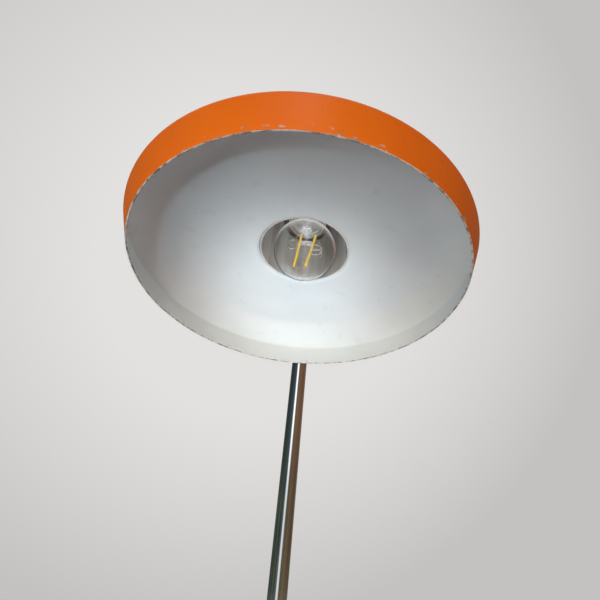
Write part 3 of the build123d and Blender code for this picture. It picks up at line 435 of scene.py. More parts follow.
smooth_gloss = span(tree, cloud(tree, place, 0.02), 0.35, 0.65, 0.38, 0.50)
tree.links.new(brush(tree, "Mix", {0: lost, 2: smooth_gloss, 3: 0.6}).outputs[0], inputs["Roughness"])
enamelled(tree, inputs, place, lost, 0.06)
shade.data.materials.append(enamel)
shade.visible_glossy = False
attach(shade, "head")
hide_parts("shade")


# Housing: a deep-drawn steel cup with vent holes round its top, chromed to a mirror outside and left satin
# inside, where brown-grey streaks are painted reflections of the room. Its solid is kept; only the two
# finishes are added.
def drawn_out(tree, place, share):
    """The place with its height multiplied by a small share, so that a pattern on it is drawn out
    upright."""
    return brush(tree, "Mapping", {"Vector": place, "Scale": (1.0, 1.0, share)}).outputs[0]


def polished(name, tone, hazy, clean=0.035, dull=0.16):
    """A mirror finish: its colour drifts a little, its roughness runs from clean to dull where hands and
    dust have been, and hair-thin wiping marks and faint dimples stand in it. hazy is the size of the dull
    blots in metres."""
    finish, tree, inputs, place = new_finish(name)
    inputs["Metallic"].default_value = 1.0
    drift = cloud(tree, place, hazy, 4.0)
    darker = tuple(0.86 * part for part in tone[:3]) + (1,)
    tree.links.new(tones(tree, drift, ((0.35, darker), (0.65, tone))), inputs["Base Color"])
    wiped = span(tree, cloud(tree, drawn_out(tree, place, 0.06), 0.0006, 2.0), 0.55, 0.75)
    dulled = span(tree, drift, 0.45, 0.75, clean, dull)
    tree.links.new(reckon(tree, "MULTIPLY_ADD", wiped, 0.05, dulled), inputs["Roughness"])
    relief(tree, inputs, cloud(tree, place, 0.004, 1.0), 0.00002)
    return finish


def dress(finish, *names):
    """Gives kept solids their finish."""
    for name in names:
        cad[name].data.materials.clear()
        cad[name].data.materials.append(finish)


chrome_tone = (0.86, 0.865, 0.87, 1)
chrome = polished("chrome_plate", chrome_tone, 0.02)
cup_chrome = polished("cup_chrome", chrome_tone, 0.02)
tree, inputs, place = sockets_of(cup_chrome)

# The cup's top bend has its centre at this radius and height; what lies within its radius is the inside.
bend_reach, bend_level, bend_radius = 0.0239, 0.3986, 0.0077
from_axis = brush(tree, "VectorMath", {0: place, 1: tuple(head_axis)}, operation="SUBTRACT").outputs[0]
level_way = brush(tree, "VectorMath", {0: from_axis, 1: (1.0, 1.0, 0.0)}, operation="MULTIPLY").outputs[0]
past_wall = span(tree, length_of(tree, level_way), bend_reach, bend_reach + 0.01, 0.0, 0.01)
past_level = span(tree, level_of(tree, place), bend_level, bend_level + 0.01, 0.0, 0.01)
from_bend = length_of(tree, brush(tree, "CombineXYZ", {0: past_wall, 1: past_level}).outputs[0])
within = span(tree, from_bend, bend_radius - 0.00005, bend_radius + 0.00005, 1.0, 0.0)
streaks = drawn_out(tree, place, 0.04)
mirror_gloss = inputs["Roughness"].links[0].from_socket
satin_gloss = span(tree, cloud(tree, streaks, 0.0015), 0.3, 0.7, 0.30, 0.46)
cup_gloss = brush(tree, "Mix", {0: within, 2: mirror_gloss, 3: satin_gloss}).outputs[0]
tree.links.new(cup_gloss, inputs["Roughness"])
mirror_tone = inputs["Base Color"].links[0].from_socket
# Inside, the satin colour runs in brown-grey streaks: painted reflections of the room's wood and window.
painted_streak_drift = cloud(tree, streaks, 0.006, 4.0)
satin_and_painted_reflection_tone = tones(tree, painted_streak_drift, ((0.35, (0.44, 0.40, 0.35, 1)), (0.65, (0.66, 0.655, 0.64, 1))))
tree.links.new(blend(tree, within, mirror_tone, satin_and_painted_reflection_tone), inputs["Base Color"])
tree.links.new(span(tree, within, 0.0, 1.0, 1.0, 0.25), inputs["Metallic"])
dress(cup_chrome, "housing")


# Shade screws: three pan heads of zinc-plated steel, each with a sawn slot. They go through the collar and
# draw it against the housing.
def slotted_head(name, seat, out, side, radius, rise, slot_width, slot_depth):
    """A screw head cut by a slot. The point at (u, v), both from -1 to 1, stands radius * u to the side and
    radius * v * sqrt(1 - u^2) along the slot, so the slot's walls stay straight; its rise is rise * (1 -
    r^6)^(1/2.4), r being its distance from the middle over the radius, less the slot's depth."""
    half = slot_width / 2 / radius
    turn = np.linspace(0, 1, 14) * (np.pi / 2 - math.asin(half) - 0.02)
    u = np.concatenate([-np.cos(turn), [-half * 1.001, -half]])
    u = np.concatenate([u, -u[::-1]])[:, None]
    v = np.append(np.linspace(-1, 1, 33), 1.0)[None, :]
    x = u + 0 * v
    y = v * np.sqrt(np.clip(1 - u ** 2, 0, 1))
    r = np.clip(np.hypot(x, y), 0, 1)
    z = rise * (1 - r ** 6) ** (1 / 2.4)
    z = np.where(np.abs(x) <= half * 1.0001, np.minimum(z, rise - slot_depth), z)
    top = np.stack([radius * x, radius * y, z], axis=-1)
    under = top[:, ::-1] * np.array([1, 1, 0.0])
    ring = np.concatenate([top, under], axis=1)
    side, out = np.array(side, float), np.array(out, float)
    return skin(name, np.asarray(seat) + ring @ np.stack([side, np.cross(out, side), out]), loop=False)


def plated(name, first, second, blots, gloss, worn, grain=0.0008, metal=1.0, bump=0.00003):
    """A dull metal or moulded finish: the colour runs between two tones in blots of that size, the
    roughness runs between the two values of gloss, and small specks of the worn colour stand in a fine
    grain."""
    finish, tree, inputs, place = new_finish(name)
    inputs["Metallic"].default_value = metal
    tone = tones(tree, cloud(tree, place, blots, 4.0), ((0.33, first), (0.67, second)))
    specks = span(tree, cloud(tree, place, grain * 2.5), 0.64, 0.72)
    tree.links.new(blend(tree, specks, tone, worn), inputs["Base Color"])
    tree.links.new(span(tree, cloud(tree, place, grain * 6), 0.3, 0.7, *gloss), inputs["Roughness"])
    relief(tree, inputs, cloud(tree, place, grain, 2.0), bump)
    return finish


zinc = plated("zinc_plate", (0.58, 0.60, 0.63, 1), (0.70, 0.69, 0.64, 1), 0.006, (0.22, 0.42),
              (0.30, 0.28, 0.25, 1))
THIRDS = (90, 210, 330)
screw_ring = 0.0332
screw_level = 0.32725
head_radius, head_rise = 0.0028, 0.0016
slot_width, slot_depth = 0.0007, 0.0008
for count, degrees in enumerate(THIRDS):
    lean = math.radians(degrees)
    out = (math.cos(lean), math.sin(lean), 0)
    seat = head_axis + screw_ring * np.array(out) + [0, 0, screw_level]
    head = slotted_head(f"shade_screw_{count + 1}", seat, out, (-out[1], out[0], 0),
                        head_radius, head_rise, slot_width, slot_depth)
    head.data.materials.append(zinc)
    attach(head, "head")
    if count == 0:
        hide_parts("shade_screws")


# Bulb glass: clear golf-ball glass, blown with an even wall and drawn in to a neck. The neck is cemented
# into the cap, and the glass is a little uneven and fingered.
globe_height = 0.325
globe_radius = 0.0225
globe_end = 50
neck_radius = 0.0120
neck_start = 0.022
glass_top = 0.3547
glass_wall = 0.0006


def glass_face(inset):
    """Half outline of the glass this far inside its outer face: an arc of the globe from its tip to 50
    degrees above its equator, a curve that turns upright, and the straight neck."""
    angle = np.radians(np.linspace(-90, globe_end, 46))[:, None]
    ball = globe_radius - inset
    globe = np.concatenate([ball * np.cos(angle), globe_height + ball * np.sin(angle)], axis=1)
    neck = neck_radius - inset
    leave = math.radians(globe_end)
    leave_way = np.array([-math.sin(leave), math.cos(leave)])
    turn_in = globe[-1] + (globe[-1, 0] - neck) / math.sin(leave) * leave_way
    draw_in = bent(globe[-1], turn_in, (neck, globe_height + neck_start))
    return np.concatenate([globe, draw_in[1:], [[neck, glass_top]]])


glass_outline = np.concatenate([glass_face(0), glass_face(glass_wall)[::-1]])
bulb_glass = turned("bulb_globe", glass_outline, head_axis, turns=128)
clear_glass, tree, inputs, place = new_finish("clear_glass")
inputs["Transmission Weight"].default_value = 1.0
inputs["IOR"].default_value = 1.46
tint = tones(tree, cloud(tree, place, 0.012), ((0.3, (0.95, 0.96, 0.95, 1)), (0.7, (0.99, 0.995, 0.99, 1))))
tree.links.new(tint, inputs["Base Color"])
fingered = span(tree, cloud(tree, place, 0.008, 4.0), 0.55, 0.8, 0.0, 0.05)
tree.links.new(fingered, inputs["Roughness"])
relief(tree, inputs, cloud(tree, place, 0.012, 1.0), 0.00012)
bulb_glass.data.materials.append(clear_glass)
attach(bulb_glass, "bulb")
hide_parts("bulb_glass")


# Light strips: two thin ceramic strips in a skin of yellow phosphor. The bulb is unlit, so their faint glow
# is painted light. Each is held by a wire at its top and another at its foot.
def drawn(name, path, radius, sides=16, level=(0, 1, 0)):
    """Carries a circle along a path of points. At each point the circle stands square to the path; its
    first direction is square to the path and to level. The radius may change along the path, and each end
    is closed."""
    path = np.asarray(path, float)
    radius = np.broadcast_to(np.asarray(radius, float), (len(path),))[:, None, None]
    along = np.gradient(path, axis=0)
    along /= np.linalg.norm(along, axis=1, keepdims=True)
    side = np.cross(along, np.asarray(level, float))
    side /= np.linalg.norm(side, axis=1, keepdims=True)
    over = np.cross(side, along)
    angle = np.linspace(0, 2 * np.pi, sides, endpoint=False)[None, :, None]
    rings = path[:, None] + radius * (np.cos(angle) * side[:, None] + np.sin(angle) * over[:, None])
    ends = np.repeat(path[[0, -1], None], sides, axis=1)
    return skin(name, np.concatenate([ends[:1], rings, ends[1:]]), loop=False)


def through(points, steps=60):
    """A smooth path through a few points: between each two, the cubic whose slope at a point is half the
    way from the point before to the point after."""
    spots = np.asarray(points, float)
    ghost = np.concatenate([2 * spots[:1] - spots[1:2], spots, 2 * spots[-1:] - spots[-2:-1]])
    t = np.linspace(0, len(spots) - 1.000001, steps)
    k = t.astype(int)
    f = (t - k)[:, None]
    a, b, c, d = ghost[k], ghost[k + 1], ghost[k + 2], ghost[k + 3]
    return 0.5 * (2 * b + (c - a) * f + (2 * a - 5 * b + 4 * c - d) * f ** 2
                  + (3 * b - a - 3 * c + d) * f ** 3)


globe_middle = head_axis + [0, 0, globe_height]
strip_half = 0.0168
strip_radius = 0.00082
strip_bow = 0.0002
phosphor = plated("yellow_phosphor", (0.98, 0.58, 0.03, 1), (1.0, 0.70, 0.06, 1), 0.002, (0.25, 0.40),
                  (0.85, 0.40, 0.03, 1), 0.0004, 0.0, 0.00005)
painted_glow_inputs = phosphor.node_tree.nodes["Principled BSDF"].inputs
# The bulb is off; the strips get a faint painted glow in their own colour to brighten them.
phosphor.node_tree.links.new(painted_glow_inputs["Base Color"].links[0].from_socket, painted_glow_inputs["Emission Color"])
painted_glow_inputs["Emission Strength"].default_value = 0.42
strip_ends = []
for count, (offset, lean) in enumerate(((-0.0050, 5.0), (0.0044, 10.0))):
    along = np.array([math.sin(math.radians(lean)), 0.0, math.cos(math.radians(lean))])
    strip_middle = globe_middle + [offset, 0.0005 - 0.001 * count, 0.0004]
    t = np.linspace(-1, 1, 40)
    bow = np.outer(strip_bow * np.cos(t * np.pi / 2), [1, 0, 0])
    body = strip_middle + np.outer(t * strip_half, along) + bow
    unevenness = 1 + 0.05 * np.sin(23 * t + count) * np.sin(9 * t)
    girth = strip_radius * (1 - np.abs(t) ** 26) ** 0.5 * unevenness
    strip = drawn(f"light_strip_{count + 1}", body, np.maximum(girth, 0.0002))
    strip.data.materials.append(phosphor)
    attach(strip, "bulb")
    strip_ends.append((strip_middle + strip_half * along, strip_middle - strip_half * along, along))
    if count == 0:
        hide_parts("bulb_filaments")


# Glass mount: a flared glass tube that is melted into the neck. Its tip is pinched flat while hot, round
# the two lead wires and the middle rod.
def pinched(radius, height, angle):
    """Around the pinch the mount is squeezed along Y: its depth falls to 48% and its width grows to
    122%."""
    pinch_level, pinch_height = 0.3445, 0.0022
    squeeze = np.exp(-((height - pinch_level) / pinch_height) ** 2)
    return radius * (1 + squeeze * (0.22 * np.cos(angle) ** 2 - 0.52 * np.sin(angle) ** 2)), height


mount_face = through([(0.0109, 0.3546), (0.0085, 0.3538), (0.0052, 0.3512), (0.0040, 0.3480),
                      (0.0034, 0.3445), (0.0024, 0.3422), (0.0010, 0.3410), (0.0, 0.3408)], 48)
mount_back = through([(0.0, 0.3475), (0.0018, 0.3478), (0.0030, 0.3490), (0.0044, 0.3519),
                      (0.0078, 0.3544), (0.0108, 0.3553)], 30)
mount_outline = np.concatenate([mount_face, mount_back])
mount = turned("glass_mount", mount_outline, head_axis, turns=48, wave=pinched)
mount.data.materials.append(clear_glass)
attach(mount, "bulb")
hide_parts("bulb_mount")


# Support wires: nickel wire. Two leads run from the pinch to the strips' tops, the strips' lower ends meet
# on a middle rod, and what is left of two wires is curled beside the strips.
def curled(angle, middle, across, deep, top, drop):
    """A loose coil round an upright line: at angle a it stands middle + across * cos(a) to the side and
    deep * sin(a) towards the back, and it sinks from top by the share of drop."""
    to_side = middle + across * np.cos(angle)
    return globe_middle + np.stack([to_side, deep * np.sin(angle), top - drop], axis=1)


def joined(start, curl):
    """A wire that runs through a few points and goes on in a curl."""
    return np.concatenate([through([*start, curl[0]], 14)[:-1], curl])


wire_radius = 0.00022
weld = 0.0006
nickel = polished("nickel_wire", (0.90, 0.88, 0.82, 1), 0.004, 0.10, 0.30)
(left_top, left_foot, left_way), (right_top, right_foot, right_way) = strip_ends
rod_foot = globe_middle + [-0.0012, 0.0002, -0.0165]
pinch = head_axis + [0, 0, 0.3440]
right_angle = np.linspace(0.2, 4.2 * np.pi, 90)
right_curl = curled(right_angle, 0.0082, 0.0044, 0.0040, 0.0058, 0.0092 * right_angle / right_angle[-1])
left_angle = np.linspace(0.6 * np.pi, 2.9 * np.pi, 60)
left_share = (left_angle - left_angle[0]) / np.ptp(left_angle)
left_curl = curled(left_angle, -0.0088, 0.0032, 0.0034, 0.0082, 0.0052 * left_share)
wires = {
    "lead_wire_left": through([
        pinch + [-0.0016, 0, 0.002],
        pinch + [-0.0020, 0, -0.002],
        pinch + [-0.0036, 0, -0.0030],
        left_top + [0.0002, 0, 0.0008],
        left_top - weld * left_way,
    ]),
    "lead_wire_right": through([
        pinch + [0.0016, 0, 0.002],
        pinch + [0.0024, 0, -0.002],
        pinch + [0.0054, 0, -0.0026],
        right_top + [0.0002, 0, 0.0008],
        right_top - weld * right_way,
    ]),
    "middle_rod": through([
        pinch + [0, 0, -0.0020],
        globe_middle + [0.0006, 0, 0.004],
        globe_middle + [-0.0006, 0, -0.008],
        rod_foot,
    ]),
    "cross_wire_left": through([
        rod_foot,
        (rod_foot + left_foot) / 2 + [0, -0.0008, -0.0012],
        left_foot + [0, 0, -0.0006],
        left_foot + weld * left_way,
    ]),
    "cross_wire_right": through([
        rod_foot,
        (rod_foot + right_foot) / 2 + [0, -0.0008, -0.0012],
        right_foot + [0, 0, -0.0006],
        right_foot + weld * right_way,
    ]),
    "curled_wire_right": joined(
        [pinch + [0.0030, 0.0006, -0.0014], pinch + [0.0080, 0.0006, -0.0060]], right_curl),
    "curled_wire_left": joined(
        [pinch + [-0.0030, 0.0006, -0.0014], pinch + [-0.0072, 0.0010, -0.0055]], left_curl),
}
for count, (name, path) in enumerate(wires.items()):
    wire = drawn(name, path, wire_radius, 10, level=(0.13, 0.97, 0.21))
    wire.data.materials.append(nickel)
    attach(wire, "bulb")
    if count == 0:
        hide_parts("bulb_wires")


# Bulb cap: thin nickel-plated brass, rolled to a screw thread and closed by a black glass plug. The plug's
# own solid is kept.
thread_pitch = 0.0036


def rolled_thread(low, high, depth):
    """A rolled screw thread between two heights: the wall moves in by depth * (1 - cos(a - 2 pi z / pitch))
    / 2, and the thread fades in and out over half a pitch."""
    def wave(radius, height, angle):
        half_pitch = thread_pitch / 2
        fade = np.clip((height - low) / half_pitch, 0, 1) * np.clip((high - height) / half_pitch, 0, 1)
        return radius - fade * depth * 0.5 * (1 - np.cos(angle - 2 * np.pi * height / thread_pitch)), height
    return wave


cap_radius, cap_bore = 0.0131, 0.0127
cap_foot, cap_top = 0.3508, 0.3734
cap_outline = np.concatenate([
    np.linspace((cap_radius, cap_foot), (cap_radius, cap_top), 76),
    bent((0.0131, 0.3738), (0.0127, 0.3752), (0.0071, 0.3767), 8),
    [[0.0, 0.3767], [0.0, 0.3762]],
    bent((0.0069, 0.3762), (0.0123, 0.3748), (0.0127, 0.3738), 8),
    np.linspace((cap_bore, cap_top), (cap_bore, cap_foot), 76),
])
bulb_cap = turned("bulb_screw_cap", cap_outline, head_axis, wave=rolled_thread(0.3520, 0.3735, 0.0009))
bulb_cap.data.materials.append(zinc)
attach(bulb_cap, "bulb")
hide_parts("bulb_cap")

dark_moulded = plated("dark_moulded", (0.012, 0.010, 0.009, 1), (0.030, 0.022, 0.017, 1), 0.010,
                      (0.18, 0.34), (0.07, 0.06, 0.05, 1), 0.0006, 0.0, 0.00002)
dress(dark_moulded, "bulb_insulator")


# End contact: a low dome of tin solder on the plug's middle, which the lampholder's spring presses on.
# It rides on the body that only travels as the bulb is screwed out; the bulb turns on that body.
def eased(corners, steps=6):
    """Rounds the corners of a closed outline; a corner is (across, up, radius). Its arc starts and ends
    radius / tan(half the corner's angle) from the corner and swings between those two spokes of its
    centre."""
    spot = np.array(corners, float)
    here, size = spot[:, :2], spot[:, 2:]
    back, on = np.roll(here, 1, 0) - here, np.roll(here, -1, 0) - here
    back /= np.linalg.norm(back, axis=1, keepdims=True)
    on /= np.linalg.norm(on, axis=1, keepdims=True)
    half = np.arccos(np.clip((back * on).sum(1, keepdims=True), -1, 1)) / 2
    inward = (back + on) / np.linalg.norm(back + on, axis=1, keepdims=True)
    centre = here + inward * size / np.sin(half)
    first = (here + back * size / np.tan(half) - centre)[:, None]
    last = (here + on * size / np.tan(half) - centre)[:, None]
    turn = (np.pi - 2 * half)[:, None]
    t = np.linspace(0, 1, steps)[None, :, None]
    spokes = (np.sin((1 - t) * turn) * first + np.sin(t * turn) * last) / np.sin(turn)
    return (centre[:, None] + spokes).reshape(-1, 2)


contact_corners = [(0, 0.3789, 0), (0.0045, 0.3789, 0.0002), (0.0043, 0.3801, 0.0008),
                   (0.0020, 0.3805, 0.0004), (0, 0.3805, 0)]
contact = turned("bulb_end_contact", eased(contact_corners), head_axis, turns=48)
tin = plated("tinned_solder", (0.50, 0.50, 0.49, 1), (0.72, 0.71, 0.68, 1), 0.003, (0.28, 0.5),
             (0.25, 0.24, 0.22, 1))
contact.data.materials.append(tin)
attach(contact, "bulb_tip")
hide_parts("bulb_contact")


# Lampholder: a dark moulded skirt with a rounded mouth and two beads, a brass thread shell and a glazed
# insert. The moulded cap, the contact spring and the screws above it are kept as they are.
skirt_corners = [(0.0162, 0.3525, 0.0007), (0.0180, 0.3525, 0.0008), (0.0180, 0.3545, 0.0001),
                 (0.0176, 0.3549, 0.0002), (0.0176, 0.3557, 0.0002), (0.0180, 0.3561, 0.0001),
                 (0.0180, 0.3838, 0.0001), (0.0176, 0.3842, 0.0002), (0.0176, 0.3850, 0.0002),
                 (0.0180, 0.3854, 0.0001), (0.0180, 0.3873, 0.0001), (0.0162, 0.3873, 0.0001)]
skirt_piece = turned("lampholder_mouth", eased(skirt_corners, 4), head_axis)
skirt_piece.data.materials.append(dark_moulded)
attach(skirt_piece, "head")
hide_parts("lampholder_skirt")

shell_radius, shell_bore = 0.0144, 0.0140
shell_foot, shell_top = 0.3555, 0.3813
shell_outline = np.concatenate([
    np.linspace((shell_radius, shell_foot), (shell_radius, shell_top), 86),
    np.linspace((shell_bore, shell_top), (shell_bore, shell_foot), 86),
])
shell = turned("thread_shell_rolled", shell_outline, head_axis, wave=rolled_thread(0.3562, 0.3800, 0.0006))
brass = plated("spun_brass", (0.62, 0.43, 0.17, 1), (0.78, 0.60, 0.29, 1), 0.007, (0.20, 0.40),
               (0.30, 0.20, 0.10, 1))
shell.data.materials.append(brass)
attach(shell, "head")
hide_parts("thread_shell")

glazed = plated("glazed_ceramic", (0.70, 0.68, 0.62, 1), (0.80, 0.79, 0.74, 1), 0.008, (0.15, 0.3),
                (0.45, 0.40, 0.33, 1), 0.0008, 0.0)
dress(dark_moulded, "lampholder_cap")
dress(glazed, "lampholder_insert")
dress(brass, "centre_contact", "nipple")
dress(zinc, "holder_screws", "nipple_nut", "nipple_spacer", "knuckle_nut")
dress(chrome, "finial")


# Inner leads: round pale flex. The head's runs from the knuckle up beside the lampholder and into its cap;
# the solids of those in the stem and the base are kept.
flex = plated("pale_flex", (0.62, 0.62, 0.60, 1), (0.72, 0.72, 0.70, 1), 0.01, (0.4, 0.55),
              (0.5, 0.5, 0.48, 1), 0.001, 0.0)
flex_radius = 0.00185
lead_points = [(0.0027, -0.0922, 0.368), (0.0027, -0.1000, 0.368), (0.0027, -0.1075, 0.3683),
               (0.0027, -0.1098, 0.3725), (0.0027, -0.1100, 0.3820), (0.0027, -0.1104, 0.3915),
               (0.0027, -0.1140, 0.3938), (0.0027, -0.1190, 0.3939)]
head_flex = drawn("head_lead_flex", through(lead_points, 70), flex_radius, level=(1, 0, 0))
head_flex.data.materials.append(flex)
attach(head_flex, "head")
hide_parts("head_lead")
dress(flex, "stem_lead", "base_lead", "switch_leads")


# Knuckle: two turned and chromed halves with a dark fibre ring between them, drawn together by a slotted
# screw. Their solids are kept. The fibre is pressed brown board with a felted grain.
fibre = plated("pressed_fibre", (0.055, 0.028, 0.016, 1), (0.10, 0.055, 0.03, 1), 0.003, (0.6, 0.8),
               (0.16, 0.10, 0.06, 1), 0.0003, 0.0, 0.0001)
dress(chrome, "knuckle_arm_half", "knuckle_head_half", "pivot_screw")
dress(fibre, "friction_ring")
dress(zinc, "knob_washer")
dress(brass, "knob_insert")


# Clamp knob: dark moulded plastic over a brass insert, with twelve finger flutes, a crowned face and a ring
# turned into it. It screws on the pivot screw's end.
pivot = np.array([0.0, -0.0842, 0.368])
SIDEWAYS = np.array([[0, 1, 0], [0, 0, 1], [1, 0, 0]], float)


def fluted(radius, height, angle):
    """The knob's rim is cut by twelve flutes: near it the radius falls by 0.95 mm * max(0, cos(12 a))^3."""
    flute_start, flute_run, flute_depth = 0.0062, 0.0022, 0.00095
    near_rim = np.clip((radius - flute_start) / flute_run, 0, 1) ** 2
    return radius - near_rim * flute_depth * np.clip(np.cos(12 * angle), 0, 1) ** 3, height


knob_corners = [(0.00405, 0.0108, 0), (0.0088, 0.0108, 0.0005), (0.0090, 0.0118, 0.0003),
                (0.0090, 0.0203, 0.0016), (0.0058, 0.02065, 0.0002), (0.0055, 0.02025, 0.0002),
                (0.0051, 0.02070, 0.0003), (0.0, 0.0208, 0), (0.0, 0.0188, 0), (0.00405, 0.0188, 0)]
knob = turned("fluted_knob", eased(knob_corners), pivot, SIDEWAYS, 288, fluted)
knob.data.materials.append(dark_moulded)
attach(knob, "knob")
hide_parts("clamp_knob")


# Stem: chromed steel tube 14 mm across with a 1 mm wall, bent a quarter turn into the arm. It stands in a
# turned collar.
tube_radius, tube_bore = 0.007, 0.006
arm_bend = 0.035
arm_level = 0.368
bend = np.radians(np.linspace(0, 90, 40))
quarter_turn = np.stack([
    0 * bend,
    arm_bend * np.cos(bend) - arm_bend,
    arm_level - arm_bend + arm_bend * np.sin(bend),
], axis=1)
stem_line = np.concatenate([
    np.linspace((0, 0, 0.0398), (0, 0, 0.3322), 40),
    quarter_turn,
    np.linspace((0, -0.0358, arm_level), (0, -0.0676, arm_level), 9),
])
stem_way = np.gradient(stem_line, axis=0)
stem_way /= np.linalg.norm(stem_way, axis=1, keepdims=True)
across = np.array([1.0, 0, 0])
stem_side = np.cross(stem_way, across)
stem_turn = np.linspace(0, 2 * np.pi, 96, endpoint=False)[None, :, None]


def stem_rings(radius):
    """Rings of this radius square to the stem's line, at each of its points."""
    spokes = np.cos(stem_turn) * across + np.sin(stem_turn) * stem_side[:, None]
    return stem_line[:, None] + radius * spokes


stem = skin("stem_and_arm", np.concatenate([stem_rings(tube_radius), stem_rings(tube_bore)[::-1]]))
stem_chrome = polished("stem_chrome", (0.80, 0.805, 0.81, 1), 0.03, 0.03, 0.09)
stem.data.materials.append(stem_chrome)
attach(stem, "stem")
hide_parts("stem_tube")

collar_corners = [(0.01005, 0.0368, 0), (0.0150, 0.0368, 0.0004), (0.0150, 0.0388, 0.0002),
                  (0.0146, 0.0391, 0.0001), (0.0146, 0.0396, 0.0001), (0.0150, 0.0399, 0.0002),
                  (0.0150, 0.0488, 0.0030), (0.00705, 0.0488, 0.0006), (0.00705, 0.03985, 0),
                  (0.01005, 0.03985, 0)]
collar_piece = turned("stem_collar_turned", eased(collar_corners, 8), (0, 0, 0))
collar_piece.data.materials.append(chrome)
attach(collar_piece, "stem")
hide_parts("stem_collar")
dress(zinc, "stem_foot", "spring_washer", "stop_washer", "stem_nut")


# Base: a pressed steel cover in orange enamel over a cast weight, closed by a steel plate. The cover is
# scuffed low down, and its raw foot edge is bare.
cover_enamel, tree, inputs, place = new_finish("enamel_orange")
height = level_of(tree, place)
orange_drift = cloud(tree, place, 0.05, 4.0)
orange = tones(tree, orange_drift, ((0.3, (0.80, 0.165, 0.012, 1)), (0.7, (0.88, 0.21, 0.018, 1))))
scuffs = span(tree, cloud(tree, place, 0.0032, 4.0, 0.62), 0.62, 0.68)
low_scuffs = reckon(tree, "MULTIPLY", scuffs, span(tree, height, 0.0018, 0.006, 1.0, 0.0))
lost = reckon(tree, "MAXIMUM", low_scuffs, span(tree, height, 0.0015, 0.0019, 1.0, 0.0))
tree.links.new(blend(tree, lost, orange, (0.36, 0.33, 0.30, 1)), inputs["Base Color"])
tree.links.new(span(tree, cloud(tree, place, 0.02), 0.35, 0.65, 0.22, 0.36), inputs["Roughness"])
enamelled(tree, inputs, place, lost, 0.25)
iron = plated("cast_iron", (0.05, 0.05, 0.052, 1), (0.10, 0.095, 0.09, 1), 0.004, (0.6, 0.8),
              (0.20, 0.10, 0.05, 1), 0.0012, 0.6, 0.0002)
nylon = plated("plain_nylon", (0.72, 0.70, 0.64, 1), (0.80, 0.79, 0.74, 1), 0.004, (0.35, 0.5),
               (0.6, 0.57, 0.5, 1), 0.0005, 0.0)
block_plastic = plated("block_plastic", (0.70, 0.70, 0.67, 1), (0.78, 0.78, 0.75, 1), 0.006, (0.3, 0.45),
                       (0.6, 0.6, 0.57, 1), 0.0008, 0.0)
dress(cover_enamel, "base_cover")
dress(iron, "base_weight")
dress(zinc, "base_plate", "plate_screws", "switch_nut", "terminal_screws")
dress(nylon, "stem_bush", "swivel_washer")
dress(block_plastic, "terminal_block")
dress(brass, "switch_tabs")
dress(dark_moulded, "switch_can")


# Felt: a 2 mm disc of dark wool felt glued under the plate, stamped with three holes over the plate's
# screws. Its edge is soft and hairy.
def matted(radius, height, angle):
    """The felt's outer edge wanders by a tenth of a millimetre, as stamped wool does."""
    edge_start, edge_run, unevenness = 0.086, 0.002, 0.0001
    edge = np.clip((radius - edge_start) / edge_run, 0, 1)
    return radius - edge * unevenness * (1 + np.sin(37 * angle) * np.sin(11 * angle + 1)), height


felt_radius, felt_thickness, felt_edge = 0.088, 0.002, 0.0006
hole_ring, hole_radius = 0.060, 0.0038
felt_outline = eased([(0, 0, 0), (felt_radius, 0, felt_edge), (felt_radius, felt_thickness, felt_edge),
                      (0, felt_thickness, 0)])
felt = turned("felt_disc", felt_outline, (0, 0, 0), turns=192, wave=matted)
punch_outline = np.array([(0, -0.004), (hole_radius, -0.004), (hole_radius, 0.006), (0, 0.006)])
for degrees in THIRDS:
    lean = math.radians(degrees)
    punch_foot = (hole_ring * math.cos(lean), hole_ring * math.sin(lean), 0)
    punch = turned("punch", punch_outline, punch_foot, turns=40)
    cut = felt.modifiers.new("hole", "BOOLEAN")
    cut.operation = "DIFFERENCE"
    cut.solver = "EXACT"
    cut.object = punch
    bpy.context.view_layer.update()
    punched = bpy.data.meshes.new_from_object(felt.evaluated_get(bpy.context.evaluated_depsgraph_get()))
    felt.modifiers.clear()
    felt.data = punched
    bpy.data.objects.remove(punch)
wool = plated("wool_felt", (0.018, 0.018, 0.020, 1), (0.040, 0.039, 0.041, 1), 0.003, (0.85, 0.95),
              (0.09, 0.09, 0.09, 1), 0.0002, 0.0, 0.0003)
wool.node_tree.nodes["Principled BSDF"].inputs["Sheen Weight"].default_value = 0.6
felt.data.materials.append(wool)
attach(felt, "base")
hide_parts("felt_pad")


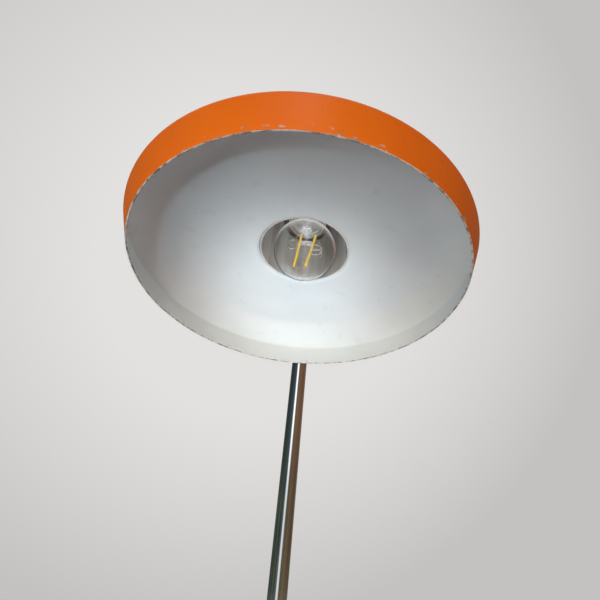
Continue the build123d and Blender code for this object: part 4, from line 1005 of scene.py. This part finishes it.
# Cord grommet: a black rubber bush buttoned into the back of the cover's skirt. Its flanges are rounded and
# its mouth is flared, so the sheet's edge can't cut a cord.
BACKWARDS = np.array([[1, 0, 0], [0, 0, 1], [0, 1, 0]], float)
grommet_level = 0.0105
grommet_corners = [(0.0036, 0.0890, 0.0004), (0.0061, 0.0890, 0.0006), (0.0061, 0.0905, 0.0005),
                   (0.0053, 0.0905, 0.0001), (0.0053, 0.0920, 0.0001), (0.0061, 0.0920, 0.0005),
                   (0.0061, 0.0935, 0.0007), (0.0040, 0.0935, 0.0004), (0.0036, 0.0926, 0.0004)]
grommet = turned("rubber_grommet", eased(grommet_corners), (0, 0, grommet_level), BACKWARDS, 64)
rubber = plated("black_rubber", (0.014, 0.014, 0.014, 1), (0.028, 0.027, 0.026, 1), 0.003, (0.55, 0.75),
                (0.07, 0.068, 0.065, 1), 0.0005, 0.0, 0.00006)
grommet.data.materials.append(rubber)
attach(grommet, "base")
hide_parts("cord_grommet")


# Switch: a chromed ring screws down over its threaded neck and holds it in the cover. A black moulded
# button with a dished top stands in the ring.
switch_middle = (0, -0.052, 0)
bezel_corners = [(0.00795, 0.0360, 0), (0.0110, 0.0360, 0.0001), (0.0110, 0.0370, 0.0009),
                 (0.0100, 0.0385, 0.0008), (0.0084, 0.0385, 0.0003), (0.00795, 0.0380, 0.0002)]
bezel = turned("switch_ring", eased(bezel_corners, 7), switch_middle)
bezel.data.materials.append(chrome)
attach(bezel, "base")
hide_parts("switch_bezel")

dish_radius, dish_depth, dish_bottom = 0.0040, 0.0003, 0.0420
dish_reach = np.linspace(dish_radius, 0, 9)
dish_face = np.stack([dish_reach, dish_bottom + dish_depth * (dish_reach / dish_radius) ** 2], axis=1)
button_side = [[0, 0.0300], [0.0051, 0.0300], [0.0053, 0.0303], [0.0053, 0.0414]]
button_edge = bent((0.0053, 0.0416), (0.0053, 0.0425), (0.0045, 0.0425), 7)
button_outline = np.concatenate([button_side, button_edge, dish_face])
button = turned("push_button", button_outline, switch_middle, turns=64)
button_black = plated("button_black", (0.016, 0.016, 0.017, 1), (0.028, 0.028, 0.029, 1), 0.004,
                      (0.14, 0.26), (0.07, 0.07, 0.07, 1), 0.0005, 0.0, 0.00001)
button.data.materials.append(button_black)
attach(button, "button")
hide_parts("switch_button")


# Mirror images: polished metal shows the room alone, not the cup and the bulb that stand behind the dish.
# So the tube carries the window's image up to the rim. Only what lies within the cup's radius is left out.
cup_reach = 0.036
dish_level = 0.29
for piece in bpy.context.scene.objects:
    if piece.type == "MESH" and not piece.hide_render:
        spots = np.empty(3 * len(piece.data.vertices), np.float32)
        piece.data.vertices.foreach_get("co", spots)
        spots = spots.reshape(-1, 3) - head_axis
        if np.hypot(spots[:, 0], spots[:, 1]).max() < cup_reach and spots[:, 2].min() > dish_level:
            piece.visible_glossy = False
